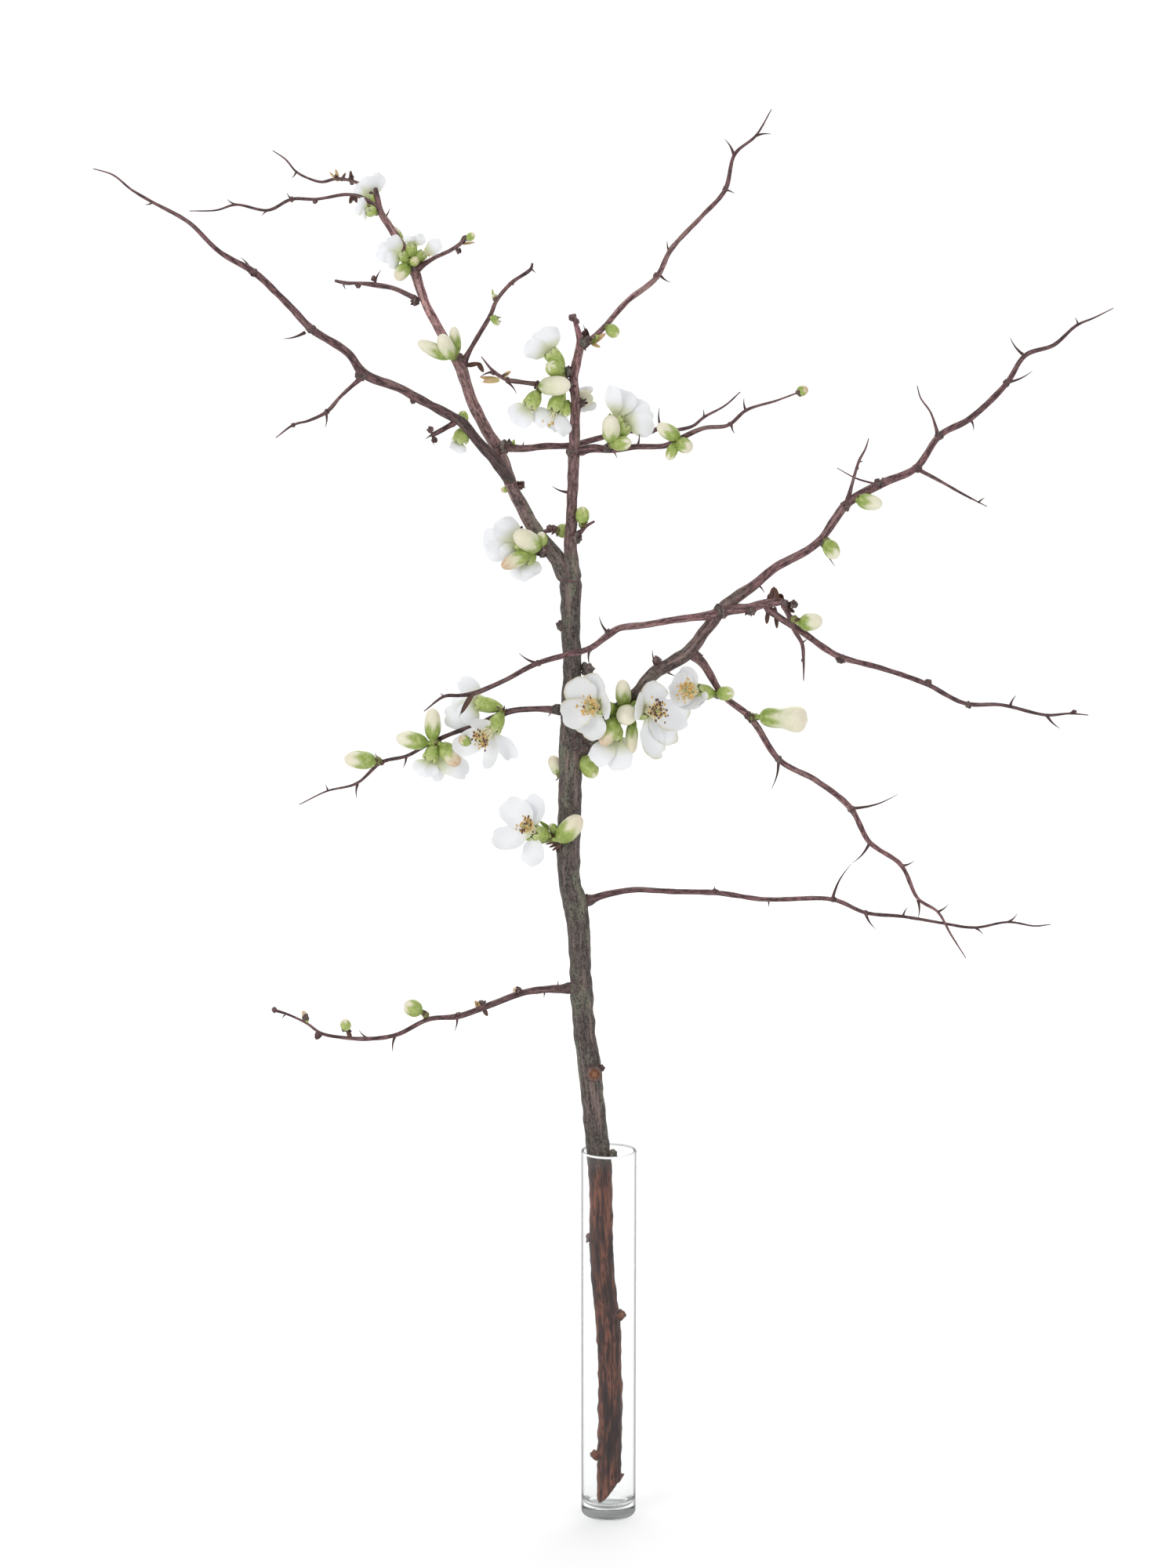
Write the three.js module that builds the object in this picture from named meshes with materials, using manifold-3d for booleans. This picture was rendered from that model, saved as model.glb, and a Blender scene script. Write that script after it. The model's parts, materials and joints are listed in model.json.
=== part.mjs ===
// A cut branch of white flowering quince standing in a glass cylinder vase.
// Millimetres, +Z up, origin at the middle of the vase's foot, front towards -Y.
//
// The wood is one grown solid. Each flower cluster has a green solid (calyx cups and closed buds),
// a white solid for the petals of each open bloom, and a yellow one for the stamens that show.

import * as THREE from "three";
import { mergeVertices } from "three/addons/utils/BufferGeometryUtils.js";
import Module from "manifold-3d";

const wasm = await Module();
wasm.setup();

// ---------------------------------------------------------------- driving dimensions, mm

const VASE = {
  height: 247,
  radius: 18,
  wall: 2,
  floor: 6.9,
  heel: 3,        // rounding of the foot's edge
  lip: 0.9,       // rounding of the rim
  sides: 32,
};

const GAP = 0.35;           // clearance between neighbouring solids
const SHORTEST_EDGE = 0.03; // shorter edges left by a cut are taken out

const LIMB_STEP = 34;       // longest stretch of a twig between two rings
const LIMB_SIDES = [[13.7, 10], [6.2, 6], [3.7, 5], [0, 4]];   // [thicker than this, sides]
const BARK = { relief: 0.025, ridges: 3, turn: 1.7 };          // swelling of a limb's radius
const THORN = { slender: 1.3, base: 2.4, tip: 0.5, fullLength: 12 };
const PETAL = { thickness: 1.1, cup: 0.14, roll: 0.2, wave: 0.6, rounding: 0.12, claw: 1.26, turn: 1.9 };
const CALYX = { stalk: 1.6, body: 3.4, mouth: 4.5, hollow: 0.45, sides: 5 };
const BUD = {
  sides: 5,
  wide: 10,                                                 // wider buds get the fuller profile
  slimProfile: [[0, 0.4], [0.5, 1], [1, 0.45]],             // [place along, part of the width]
  wideProfile: [[0, 0.36], [0.34, 0.95], [0.68, 0.95], [1, 0.42]],
};
const STALK = { radius: 1.6, knot: 2.4, reach: 1.8 };    // short stalks from the cluster's knot
const KNOT_SWELL = 1.15;    // an eight-faced knot's corners stand this much further out
const HUB = { radius: 2.1, lift: 1.05 };      // where the petals' claws meet, above the calyx mouth
const STAMENS = { count: 4, spread: 0.5, filament: 0.35, anther: 0.7, seat: 1.2, shortest: 5 };

// ---------------------------------------------------------------- front drawing

// Every route is laid out on a sheet ruled in half millimetres, as the branch is seen from a
// standpoint in front of it and a little above. x runs right and y runs down the sheet; depth is
// millimetres behind the vase's axis. A point slides along its line of sight to its depth.
const STANDPOINT = new THREE.Vector3(-13.5, -2300, 881);
const SHEET = { rule: 0.5, middle: [750, 1000], centre: new THREE.Vector3(-13.5, 0, 487.8) };
const SHEET_UP = new THREE.Vector3(0, 0.1685, 0.9857);

function at(x, y, depth) {
  const onSheet = SHEET.centre.clone()
    .add(new THREE.Vector3((x - SHEET.middle[0]) * SHEET.rule, 0, 0))
    .addScaledVector(SHEET_UP, (SHEET.middle[1] - y) * SHEET.rule);
  const sight = onSheet.sub(STANDPOINT);
  return STANDPOINT.clone().addScaledVector(sight, (depth - STANDPOINT.y) / sight.y);
}

// ---------------------------------------------------------------- solids

function solidOf(geometry) {
  const bare = geometry.clone();
  bare.deleteAttribute("normal");
  bare.deleteAttribute("uv");
  const merged = mergeVertices(bare, 1e-4);
  return new wasm.Manifold(new wasm.Mesh({
    numProp: 3,
    vertProperties: new Float32Array(merged.attributes.position.array),
    triVerts: new Uint32Array(merged.index.array),
  }));
}

function geometryOf(solid) {
  const mesh = solid.getMesh();
  const geometry = new THREE.BufferGeometry();
  geometry.setAttribute("position", new THREE.BufferAttribute(mesh.vertProperties, 3));
  geometry.setIndex(new THREE.BufferAttribute(mesh.triVerts, 1));
  geometry.computeVertexNormals();
  return geometry;
}

const join = (solids) => solids.reduce((whole, solid) => whole.add(solid));

// The biggest body of a cut solid; loose scraps and the shortest edges along the cuts are dropped.
function mainBody(solid) {
  return solid.decompose().sort((a, b) => b.volume() - a.volume())[0].simplify(SHORTEST_EDGE);
}

// A closed skin over rings of points. Each end is closed by a fan to its own end point.
function skin(rings, start, end) {
  const sides = rings[0].length;
  const positions = [...rings.flat(), start, end].flatMap((p) => [p.x, p.y, p.z]);
  const startIndex = rings.length * sides;
  const index = [];
  for (let side = 0; side < sides; side += 1) {
    const next = (side + 1) % sides;
    for (let ring = 0; ring < rings.length - 1; ring += 1) {
      const low = ring * sides;
      const high = low + sides;
      index.push(low + side, low + next, high + next, low + side, high + next, high + side);
    }
    const last = (rings.length - 1) * sides;
    index.push(startIndex, next, side, startIndex + 1, last + side, last + next);
  }
  const geometry = new THREE.BufferGeometry();
  geometry.setAttribute("position", new THREE.Float32BufferAttribute(positions, 3));
  geometry.setIndex(index);
  return geometry;
}

// A round body swept through stations { point, along, radius }, its frame carried without twist.
// bulge(angle, station number) scales the radius; endReach is how far the end's point stands out.
function sweep(stations, sides, { bulge = () => 1, endReach = 0.5 } = {}) {
  const turn = new THREE.Quaternion();
  let along = stations[0].along;
  const guide = Math.abs(along.z) < 0.9 ? new THREE.Vector3(0, 0, 1) : new THREE.Vector3(1, 0, 0);
  let across = guide.cross(along).normalize();
  const rings = stations.map((station, number) => {
    turn.setFromUnitVectors(along, station.along);
    along = station.along;
    across = across.clone().applyQuaternion(turn);
    const over = along.clone().cross(across);
    return Array.from({ length: sides }, (_, side) => {
      const angle = (2 * Math.PI * side) / sides;
      const radius = station.radius * bulge(angle, number);
      return station.point.clone()
        .addScaledVector(across, radius * Math.cos(angle))
        .addScaledVector(over, radius * Math.sin(angle));
    });
  });
  const [first, last] = [stations[0], stations[stations.length - 1]];
  const start = first.point.clone().addScaledVector(first.along, -0.5 * first.radius);
  const end = last.point.clone().addScaledVector(last.along, endReach * last.radius);
  return solidOf(skin(rings, start, end));
}

function lump(geometry, centre) {
  geometry.translate(centre.x, centre.y, centre.z);
  return solidOf(geometry);
}

const knob = (centre, radius) => lump(new THREE.IcosahedronGeometry(radius, 0), centre);
const knot = (centre, radius) => lump(new THREE.OctahedronGeometry(KNOT_SWELL * radius, 0), centre);

// ---------------------------------------------------------------- the wood

// route: [x, y, diameter in mm]. depths are spread evenly along the route, after the depth of the
// limb it grows from. thorns: [x, y of the root, x, y of the tip, lean in depth, mm].
// knobs: [x, y, radius in mm, depth from the limb's middle, mm].
const LIMBS = [
  {
    name: "trunk", depths: [-5, -4, -3, 0, 3, 3],
    route: [
      [777, 1925, 15.4], [777, 1865, 15.4], [778, 1823, 15.4], [778.5, 1783, 15.8],
      [777.5, 1741, 15], [776.5, 1700, 15.8], [773, 1662, 15.2], [768.5, 1620, 15],
      [766.8, 1570, 15.2], [767, 1535, 14.4], [765, 1485, 15.4], [761, 1450, 14.8],
      [756, 1400, 15], [752, 1360, 15], [746, 1319, 14], [742.5, 1278, 14.6], [740, 1230, 14],
      [737.5, 1180, 14.6], [733.5, 1152, 16], [727.6, 1130, 14.2], [725, 1100, 14.8],
      [726, 1051, 15], [727.5, 1000, 14.6], [728, 962, 15.4], [728, 925, 13.4], [729, 890, 12.8],
      [730, 855, 11.8], [728, 800, 12], [728, 762, 12.8], [728, 746, 14.6], [727, 738, 12],
    ],
    knobs: [
      [790, 1886, 4.2, -1], [760, 1855, 3, -3], [789, 1676, 3.6, -3], [754, 1579, 3, -1],
      [783, 1473, 3.4, -3], [758, 1368, 4.6, -5], [768, 1362, 3.4, -4], [716, 798, 3, -1],
      [749, 854, 4.2, 0], [711, 905, 3.4, -2], [741, 949, 6, -3], [714, 1071, 4, -3],
      [741, 1150, 5, 2], [735, 1258, 4.6, -3],
    ],
  },
  {
    name: "leader_left", on: "trunk", depths: [6, 14, 22, 28],
    route: [
      [727, 745, 13], [711, 713, 10], [685, 680, 9.4], [667, 648, 8.4], [650, 613, 7.8],
      [637, 575, 7.6], [618, 544, 7.4], [600, 506, 7], [587, 468, 7.6], [564, 426, 5.8],
      [543, 387, 5.4], [528, 345, 6.6], [512, 313, 4.8], [495, 286, 4.6], [486, 271, 4.4],
      [479, 240, 2.8],
    ],
    knobs: [[638, 571, 4.6, 0], [529, 342, 3.8, 0], [585, 460, 4, 0], [692, 701, 4.6, -2]],
  },
  {
    name: "arch_left", on: "leader_left", depths: [-16, -32, -54, -78, -104],
    route: [
      [654, 618, 7.6], [631, 587, 7], [609, 562, 6.4], [591, 540, 6.4], [550, 517, 5.6],
      [509, 495, 5.4], [464, 476, 6], [444, 450, 4.8], [399, 421, 5], [370, 391, 4.2],
      [325, 348, 4.2], [280, 321, 3], [240, 283, 2.6], [195, 258, 2], [168, 242, 1.5],
      [144, 223, 1.1], [119, 215, 0.6],
    ],
    thorns: [[389, 424, 361, 432, -3], [321, 346, 307, 328, -2]],
    knobs: [[461, 478, 3.6, 0]],
  },
  {
    name: "arch_sub", on: "arch_left", depths: [-36, -52, -72],
    route: [
      [464, 479, 3], [435, 505, 2.2], [417, 525, 2.6], [395, 536, 1.8], [374, 542, 1.6],
      [352, 558, 0.6],
    ],
    thorns: [[416, 526, 415, 545, 2]],
  },
  {
    name: "arch_twig", on: "arch_left", depths: [-28],
    route: [[582, 538, 2.6], [566, 547, 2.2], [551, 555, 2.2]],
  },
  {
    name: "twig_top_right", on: "leader_left", depths: [12, -2, -20],
    route: [[530, 344, 3.6], [552, 330, 2.2], [575, 319, 2.3], [590, 308, 2.2], [594, 301, 1.6]],
  },
  {
    name: "twig_top_left", on: "leader_left", depths: [30, 44, 60],
    route: [
      [533, 382, 3.6], [503, 368, 2.6], [476, 363, 2.8], [457, 361, 2.2], [442, 361, 2.4],
      [428, 358, 1.4],
    ],
    thorns: [[478, 362, 486, 344, 2]],
  },
  {
    name: "twig_a", on: "leader_left", depths: [18, 0, -22, -46],
    route: [
      [485, 268, 3.6], [462, 252, 2.6], [444, 248, 2.4], [403, 254, 2], [372, 254, 2.2],
      [342, 268, 1.9], [301, 261, 1.7], [276, 268, 1.2], [242, 269, 0.6],
    ],
  },
  {
    name: "twig_b", on: "leader_left", depths: [38, 60, 84],
    route: [
      [483, 262, 3], [468, 240, 2.2], [450, 231, 2.2], [429, 228, 2.2], [411, 232, 1.8],
      [395, 228, 1.5], [378, 219, 1.5], [364, 203, 1.2], [348, 192, 0.6],
    ],
  },
  {
    name: "twig_mid_right", on: "leader_left", depths: [6, -8, -24],
    route: [
      [590, 464, 3.6], [606, 435, 2.4], [625, 403, 2.2], [633, 384, 2], [652, 361, 1.9],
      [677, 343, 1.6], [679, 336, 1],
    ],
  },
  {
    name: "mid_branch", on: "leader_left", depths: [16, 28, 46, 70],
    route: [
      [640, 568, 4.8], [662, 572, 3.8], [695, 569, 3.6], [727, 568, 3.4], [763, 559, 3.2],
      [797, 550, 2.8], [830, 551, 2.4], [841, 546, 2.6], [864, 548, 2.2], [884, 543, 1.9],
      [898, 532, 1.9], [925, 517, 1.4], [944, 500, 0.7],
    ],
    thorns: [[843, 546, 841, 520, -2]],
  },
  {
    name: "leader_right", on: "trunk", depths: [-1, -8, -12, -14],
    route: [
      [730, 748, 12], [728, 697, 7.8], [730, 636, 7], [732, 576, 7.2], [734, 513, 6],
      [732, 479, 6], [740, 440, 5.4], [738, 425, 4], [734, 412, 2.8], [732, 404, 2.2],
    ],
    thorns: [[725, 628, 704, 620, -2]],
    knobs: [
      [726, 490, 3.6, -1], [724, 474, 3.4, -1], [743, 437, 3.6, 0], [735, 685, 3.6, -2],
      [731, 577, 4.2, 0],
    ],
  },
  {
    name: "twig_bloom_left", on: "leader_right", depths: [-16, -24, -36],
    route: [
      [729, 489, 3.4], [706, 491, 2.8], [686, 490, 2.6], [663, 487, 2.2], [646, 484, 2.2],
      [629, 473, 1.6], [614, 455, 0.6],
    ],
    thorns: [[646, 486, 659, 502, 1], [629, 474, 612, 481, 2]],
  },
  {
    name: "ne_branch", on: "leader_right", depths: [8, 34, 66, 102],
    route: [
      [742, 443, 4.6], [768, 420, 3.5], [799, 385, 3.2], [837, 354, 3.2], [856, 318, 3],
      [895, 276, 2.6], [925, 242, 2.7], [937, 197, 2.3], [964, 173, 1.8], [984, 139.5, 0.6],
    ],
    thorns: [
      [854, 322, 851, 307, 1], [936, 197, 924, 177, -1], [964, 173, 984, 171, 1],
      [746, 436, 744, 414, -2],
    ],
  },
  {
    name: "twig_right", on: "leader_right", depths: [-18, -30, -44, -62],
    route: [
      [736, 577, 5.4], [753, 572, 4.4], [777, 573, 4], [808, 570, 3.2], [850, 568, 3],
      [868, 559, 3], [898, 546, 2.2], [929, 542, 1.8], [952, 523, 1.7], [990, 511, 1.3],
      [1017, 501, 1.1],
    ],
    thorns: [[951, 523, 949, 508, -1], [813, 569, 815, 552, 1]],
    knobs: [[777, 571, 3, -1]],
  },
  {
    name: "spur_between", on: "leader_left", depths: [8],
    route: [[694, 678, 3], [702, 676, 2.4], [709, 676, 2.6]],
  },
  {
    name: "spur_right", on: "leader_right", depths: [-8],
    route: [[731, 686, 4], [741, 678, 2.8], [748, 671, 2.2], [758, 665, 1.4]],
  },
  {
    name: "branch_right", on: "trunk", depths: [-6, -10, 2, 30, 64],
    route: [
      [729, 962, 13.5], [745, 947, 12.4], [765, 930, 10], [788, 905, 8], [811, 885, 7],
      [834, 859, 6.8], [875, 834, 7.4], [899, 805, 6.4], [924, 774, 6.6], [966, 743, 5.6],
      [987, 725, 5.4], [1042, 693, 5], [1080, 643, 5.2], [1122, 618, 4.9], [1168, 597, 4.6],
      [1199, 555, 3.8], [1237, 534, 3.6], [1283, 490, 3.2], [1308, 453, 2.4], [1344, 440, 2],
      [1373, 415, 1.6], [1396, 405, 1.1], [1420, 393, 0.6],
    ],
    thorns: [
      [1306, 453, 1288, 430, -2], [1283, 488, 1317, 473, 2], [1050, 690, 1065, 722, -3],
      [838, 850, 832, 829, -2],
    ],
    knobs: [
      [812, 886, 3.8, -1], [797, 899, 4, -2], [920, 779, 4.6, -1], [1078, 645, 3.2, 0],
      [1121, 617, 3, 0], [1050, 692, 3, -1],
    ],
  },
  {
    name: "spine_up", on: "branch_right", depths: [4],
    route: [[1080, 643, 2.6], [1092, 599, 1.5], [1096, 587, 1.6], [1104, 572, 1], [1108, 559, 0.5]],
  },
  {
    name: "spine_left", on: "branch_right", depths: [0],
    route: [[1124, 619, 1.8], [1092, 610, 1.1], [1068, 597, 0.5]],
  },
  {
    name: "spine_low", on: "branch_right", depths: [-4],
    route: [[1168, 597, 2.4], [1200, 614, 1.6], [1230, 631, 1.3], [1259, 646, 0.5]],
  },
  {
    name: "spine_top", on: "branch_right", depths: [22],
    route: [[1197, 556, 2.2], [1187, 526, 1.3], [1174, 507, 1], [1170, 492, 0.5]],
  },
  {
    name: "stub", on: "branch_right", depths: [-16, -20],
    route: [
      [920, 781, 6.4], [936, 777, 6], [956, 775, 5.8], [972, 771, 5.8], [988, 768, 5.6],
      [999, 767, 4],
    ],
    thorns: [[986, 764, 988, 748, -1], [979, 778, 978, 793, -3], [988, 775, 992, 798, -2]],
    knobs: [[958, 779, 3, -1]],
  },
  {
    name: "branch_right_lower", on: "stub", depths: [-26, -46, -70, -94],
    route: [
      [976, 774, 5], [995, 788, 4.3], [1026, 808, 4.2], [1051, 826, 4], [1070, 837, 4],
      [1127, 853, 3.3], [1181, 872, 3.1], [1231, 897, 2.8], [1277, 899, 2.2], [1335, 912, 1.9],
      [1364, 910, 1.3], [1388, 912, 0.6],
    ],
    thorns: [[1335, 912, 1352, 929, -2]],
  },
  {
    name: "twig_hang", on: "stub", depths: [-30, -36],
    route: [
      [998, 770, 3.4], [1006, 784, 2.6], [1013, 803, 2.1], [1023, 821, 1.9], [1025, 842, 1.4],
      [1025, 868, 0.6],
    ],
  },
  {
    name: "cross_left", on: "branch_right", depths: [-22, -34, -44, -62, -86],
    route: [
      [922, 779, 5], [902, 785, 4.2], [880, 788, 4], [850, 792, 4], [822, 797, 3.6],
      [790, 801, 3.7], [777, 809, 3.8], [752, 827, 3.4], [723, 835, 3.4], [685, 846, 3.2],
      [643, 868, 3], [605, 884, 3.4], [586, 887, 2.2], [567, 888, 2], [541, 907, 0.6],
    ],
    thorns: [
      [776, 808, 764, 786, -3], [752, 828, 752, 849, 1], [685, 846, 662, 833, -2],
      [603, 884, 586, 914, -4],
    ],
  },
  {
    name: "branch_drop", on: "branch_right", depths: [6, 30, 56, 88],
    route: [
      [880, 832, 5], [898, 848, 4.4], [916, 878, 3.8], [928, 892, 3.6], [957, 915, 3.8],
      [994, 969, 3.3], [1042, 996, 3.1], [1085, 1031, 3.2], [1109, 1074, 2.5], [1149, 1103, 2.2],
      [1171, 1146, 1.8], [1196, 1163, 1.5], [1213, 1192, 1.1], [1232, 1222, 0.6],
    ],
    thorns: [
      [993, 970, 984, 1006, -2], [1087, 1031, 1145, 1013, 2], [1109, 1076, 1087, 1101, -2],
      [1152, 1104, 1166, 1098, 1], [1171, 1148, 1171, 1172, -1], [1196, 1163, 1210, 1153, 1],
    ],
  },
  {
    name: "branch_low_right", on: "trunk", depths: [12, 40, 74, 108],
    route: [
      [739, 1154, 6], [765, 1143, 4.4], [808, 1135, 3.7], [856, 1137, 3.5], [913, 1138.5, 3.5],
      [975, 1147, 3.1], [1061, 1147, 3], [1104, 1164, 2.6], [1152, 1169, 2.3], [1200, 1177, 2],
      [1243, 1183, 1.9], [1286, 1176, 1.6], [1320, 1181, 1.2], [1340, 1179, 0.6],
    ],
    thorns: [
      [1062, 1146, 1086, 1102, -3], [1104, 1165, 1117, 1185, 1], [1286, 1176, 1298, 1165, 1],
    ],
    knobs: [[750, 1147, 3.2, 1]],
  },
  {
    name: "branch_mid_left", on: "trunk", depths: [0, 4, 18, 38, 62],
    route: [
      [722, 908, 5], [704, 905, 3.6], [682, 904, 3.1], [656, 906, 3.3], [640, 911, 3.6],
      [606, 925, 2.8], [573, 937, 2.8], [545, 950, 2.4], [519, 964, 2.2], [487, 972, 2.2],
      [455, 999, 1.7], [417, 1009, 1.3], [382, 1026, 0.6],
    ],
    thorns: [[487, 972, 478, 960, -1], [456, 1000, 455, 1018, -1]],
    knobs: [[593, 938, 3, -3]],
  },
  {
    name: "branch_low_left", on: "trunk", depths: [-16, -36, -58, -84],
    route: [
      [738, 1259, 6], [719, 1261, 4.4], [695, 1262, 3.9], [668, 1266, 3.9], [627, 1281, 3.4],
      [585, 1296, 3.2], [547, 1300, 3], [505, 1320, 2.7], [467, 1325, 2.4], [435, 1323, 2],
      [410, 1318, 2], [391, 1305, 1.6], [365, 1293, 1.5], [352, 1289, 1.8],
    ],
    thorns: [[583, 1296, 580, 1315, -2], [504, 1321, 501, 1342, 1], [470, 1325, 458, 1314, -1]],
  },
];

// Where the foot is cut: a slanted face from the left tip up to the right side.
const FOOT_CUT = { low: [762, 1920], high: [800, 1871], depth: -5, size: 60 };

const routeOf = new Map();   // limb name -> [[x, y, depth, diameter], ...] with the depths worked out

// The depth of a limb at the place on it nearest to a point of the sheet.
function depthOn(name, x, y) {
  const route = routeOf.get(name);
  let best = { distance: Infinity, depth: 0 };
  for (let k = 0; k < route.length - 1; k += 1) {
    const [x0, y0, depth0] = route[k];
    const [x1, y1, depth1] = route[k + 1];
    const [dx, dy] = [x1 - x0, y1 - y0];
    const part = THREE.MathUtils.clamp(((x - x0) * dx + (y - y0) * dy) / (dx * dx + dy * dy), 0, 1);
    const distance = Math.hypot(x - x0 - part * dx, y - y0 - part * dy);
    if (distance < best.distance) best = { distance, depth: depth0 + part * (depth1 - depth0) };
  }
  return best.depth;
}

function layOut(limb) {
  const start = limb.route[0];
  const depths = limb.on ? [depthOn(limb.on, start[0], start[1]), ...limb.depths] : limb.depths;
  const lengths = [0];
  limb.route.slice(1).forEach(([x, y], k) => {
    const [px, py] = limb.route[k];
    lengths.push(lengths[k] + Math.hypot(x - px, y - py));
  });
  const total = lengths[lengths.length - 1];
  routeOf.set(limb.name, limb.route.map(([x, y, diameter], k) => {
    const place = (lengths[k] / total) * (depths.length - 1);
    const low = Math.min(Math.floor(place), depths.length - 2);
    return [x, y, THREE.MathUtils.lerp(depths[low], depths[low + 1], place - low), diameter];
  }));
}

// One limb as a tapering round body, its radius waved a little as bark is; grow thickens it.
function limbSolid(name, grow) {
  const route = routeOf.get(name);
  const points = route.map(([x, y, depth]) => at(x, y, depth));
  const curve = new THREE.CatmullRomCurve3(points, false, "centripetal");
  const last = route.length - 1;
  const stations = [];
  const addStation = (place) => {
    const low = Math.min(Math.floor(place), last - 1);
    const diameter = THREE.MathUtils.lerp(route[low][3], route[low + 1][3], place - low);
    stations.push({
      point: curve.getPoint(place / last),
      along: curve.getTangent(place / last).normalize(),
      radius: diameter / 2 + grow,
    });
  };
  for (let k = 0; k < last; k += 1) {
    const span = points[k].distanceTo(points[k + 1]);
    const parts = Math.max(1, Math.round(span / (LIMB_STEP + route[k][3])));
    for (let i = 0; i < parts; i += 1) addStation(k + i / parts);
  }
  addStation(last);
  const widest = Math.max(...route.map((point) => point[3]));
  const [, sides] = LIMB_SIDES.find(([thicker]) => widest > thicker);
  const bulge = (angle, number) => 1 + BARK.relief * Math.sin(BARK.ridges * angle + BARK.turn * number);
  return sweep(stations, sides, { bulge });
}

function thornSolid(name, [x0, y0, x1, y1, lean], grow) {
  const depth = depthOn(name, x0, y0);
  const root = at(x0, y0, depth);
  const tip = at(x1, y1, depth + lean);
  const along = tip.clone().sub(root).normalize();
  const length = root.distanceTo(tip);
  const fullness = Math.min(length / THORN.fullLength, 1);
  const base = THREE.MathUtils.lerp(THORN.slender, THORN.base, fullness);
  return sweep([
    { point: root, along, radius: base / 2 + grow },
    { point: tip, along, radius: THORN.tip / 2 + grow },
  ], 3);
}

function footCutter() {
  const low = at(...FOOT_CUT.low, FOOT_CUT.depth);
  const high = at(...FOOT_CUT.high, FOOT_CUT.depth);
  const slope = Math.atan2(high.z - low.z, high.x - low.x);
  const box = new THREE.BoxGeometry(2 * FOOT_CUT.size, FOOT_CUT.size, FOOT_CUT.size);
  box.translate(0, 0, -FOOT_CUT.size / 2);
  box.rotateY(-slope);
  box.translate(low.x, low.y, low.z);
  return solidOf(box);
}

function woodSolid(grow) {
  const solids = LIMBS.flatMap(({ name, thorns = [], knobs = [] }) => [
    limbSolid(name, grow),
    ...thorns.map((thorn) => thornSolid(name, thorn, grow)),
    ...knobs.map(([x, y, radius, offset]) => knob(at(x, y, depthOn(name, x, y) + offset), radius + grow)),
  ]);
  return mainBody(join(solids).subtract(footCutter()));
}

// ---------------------------------------------------------------- flowers and buds

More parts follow.
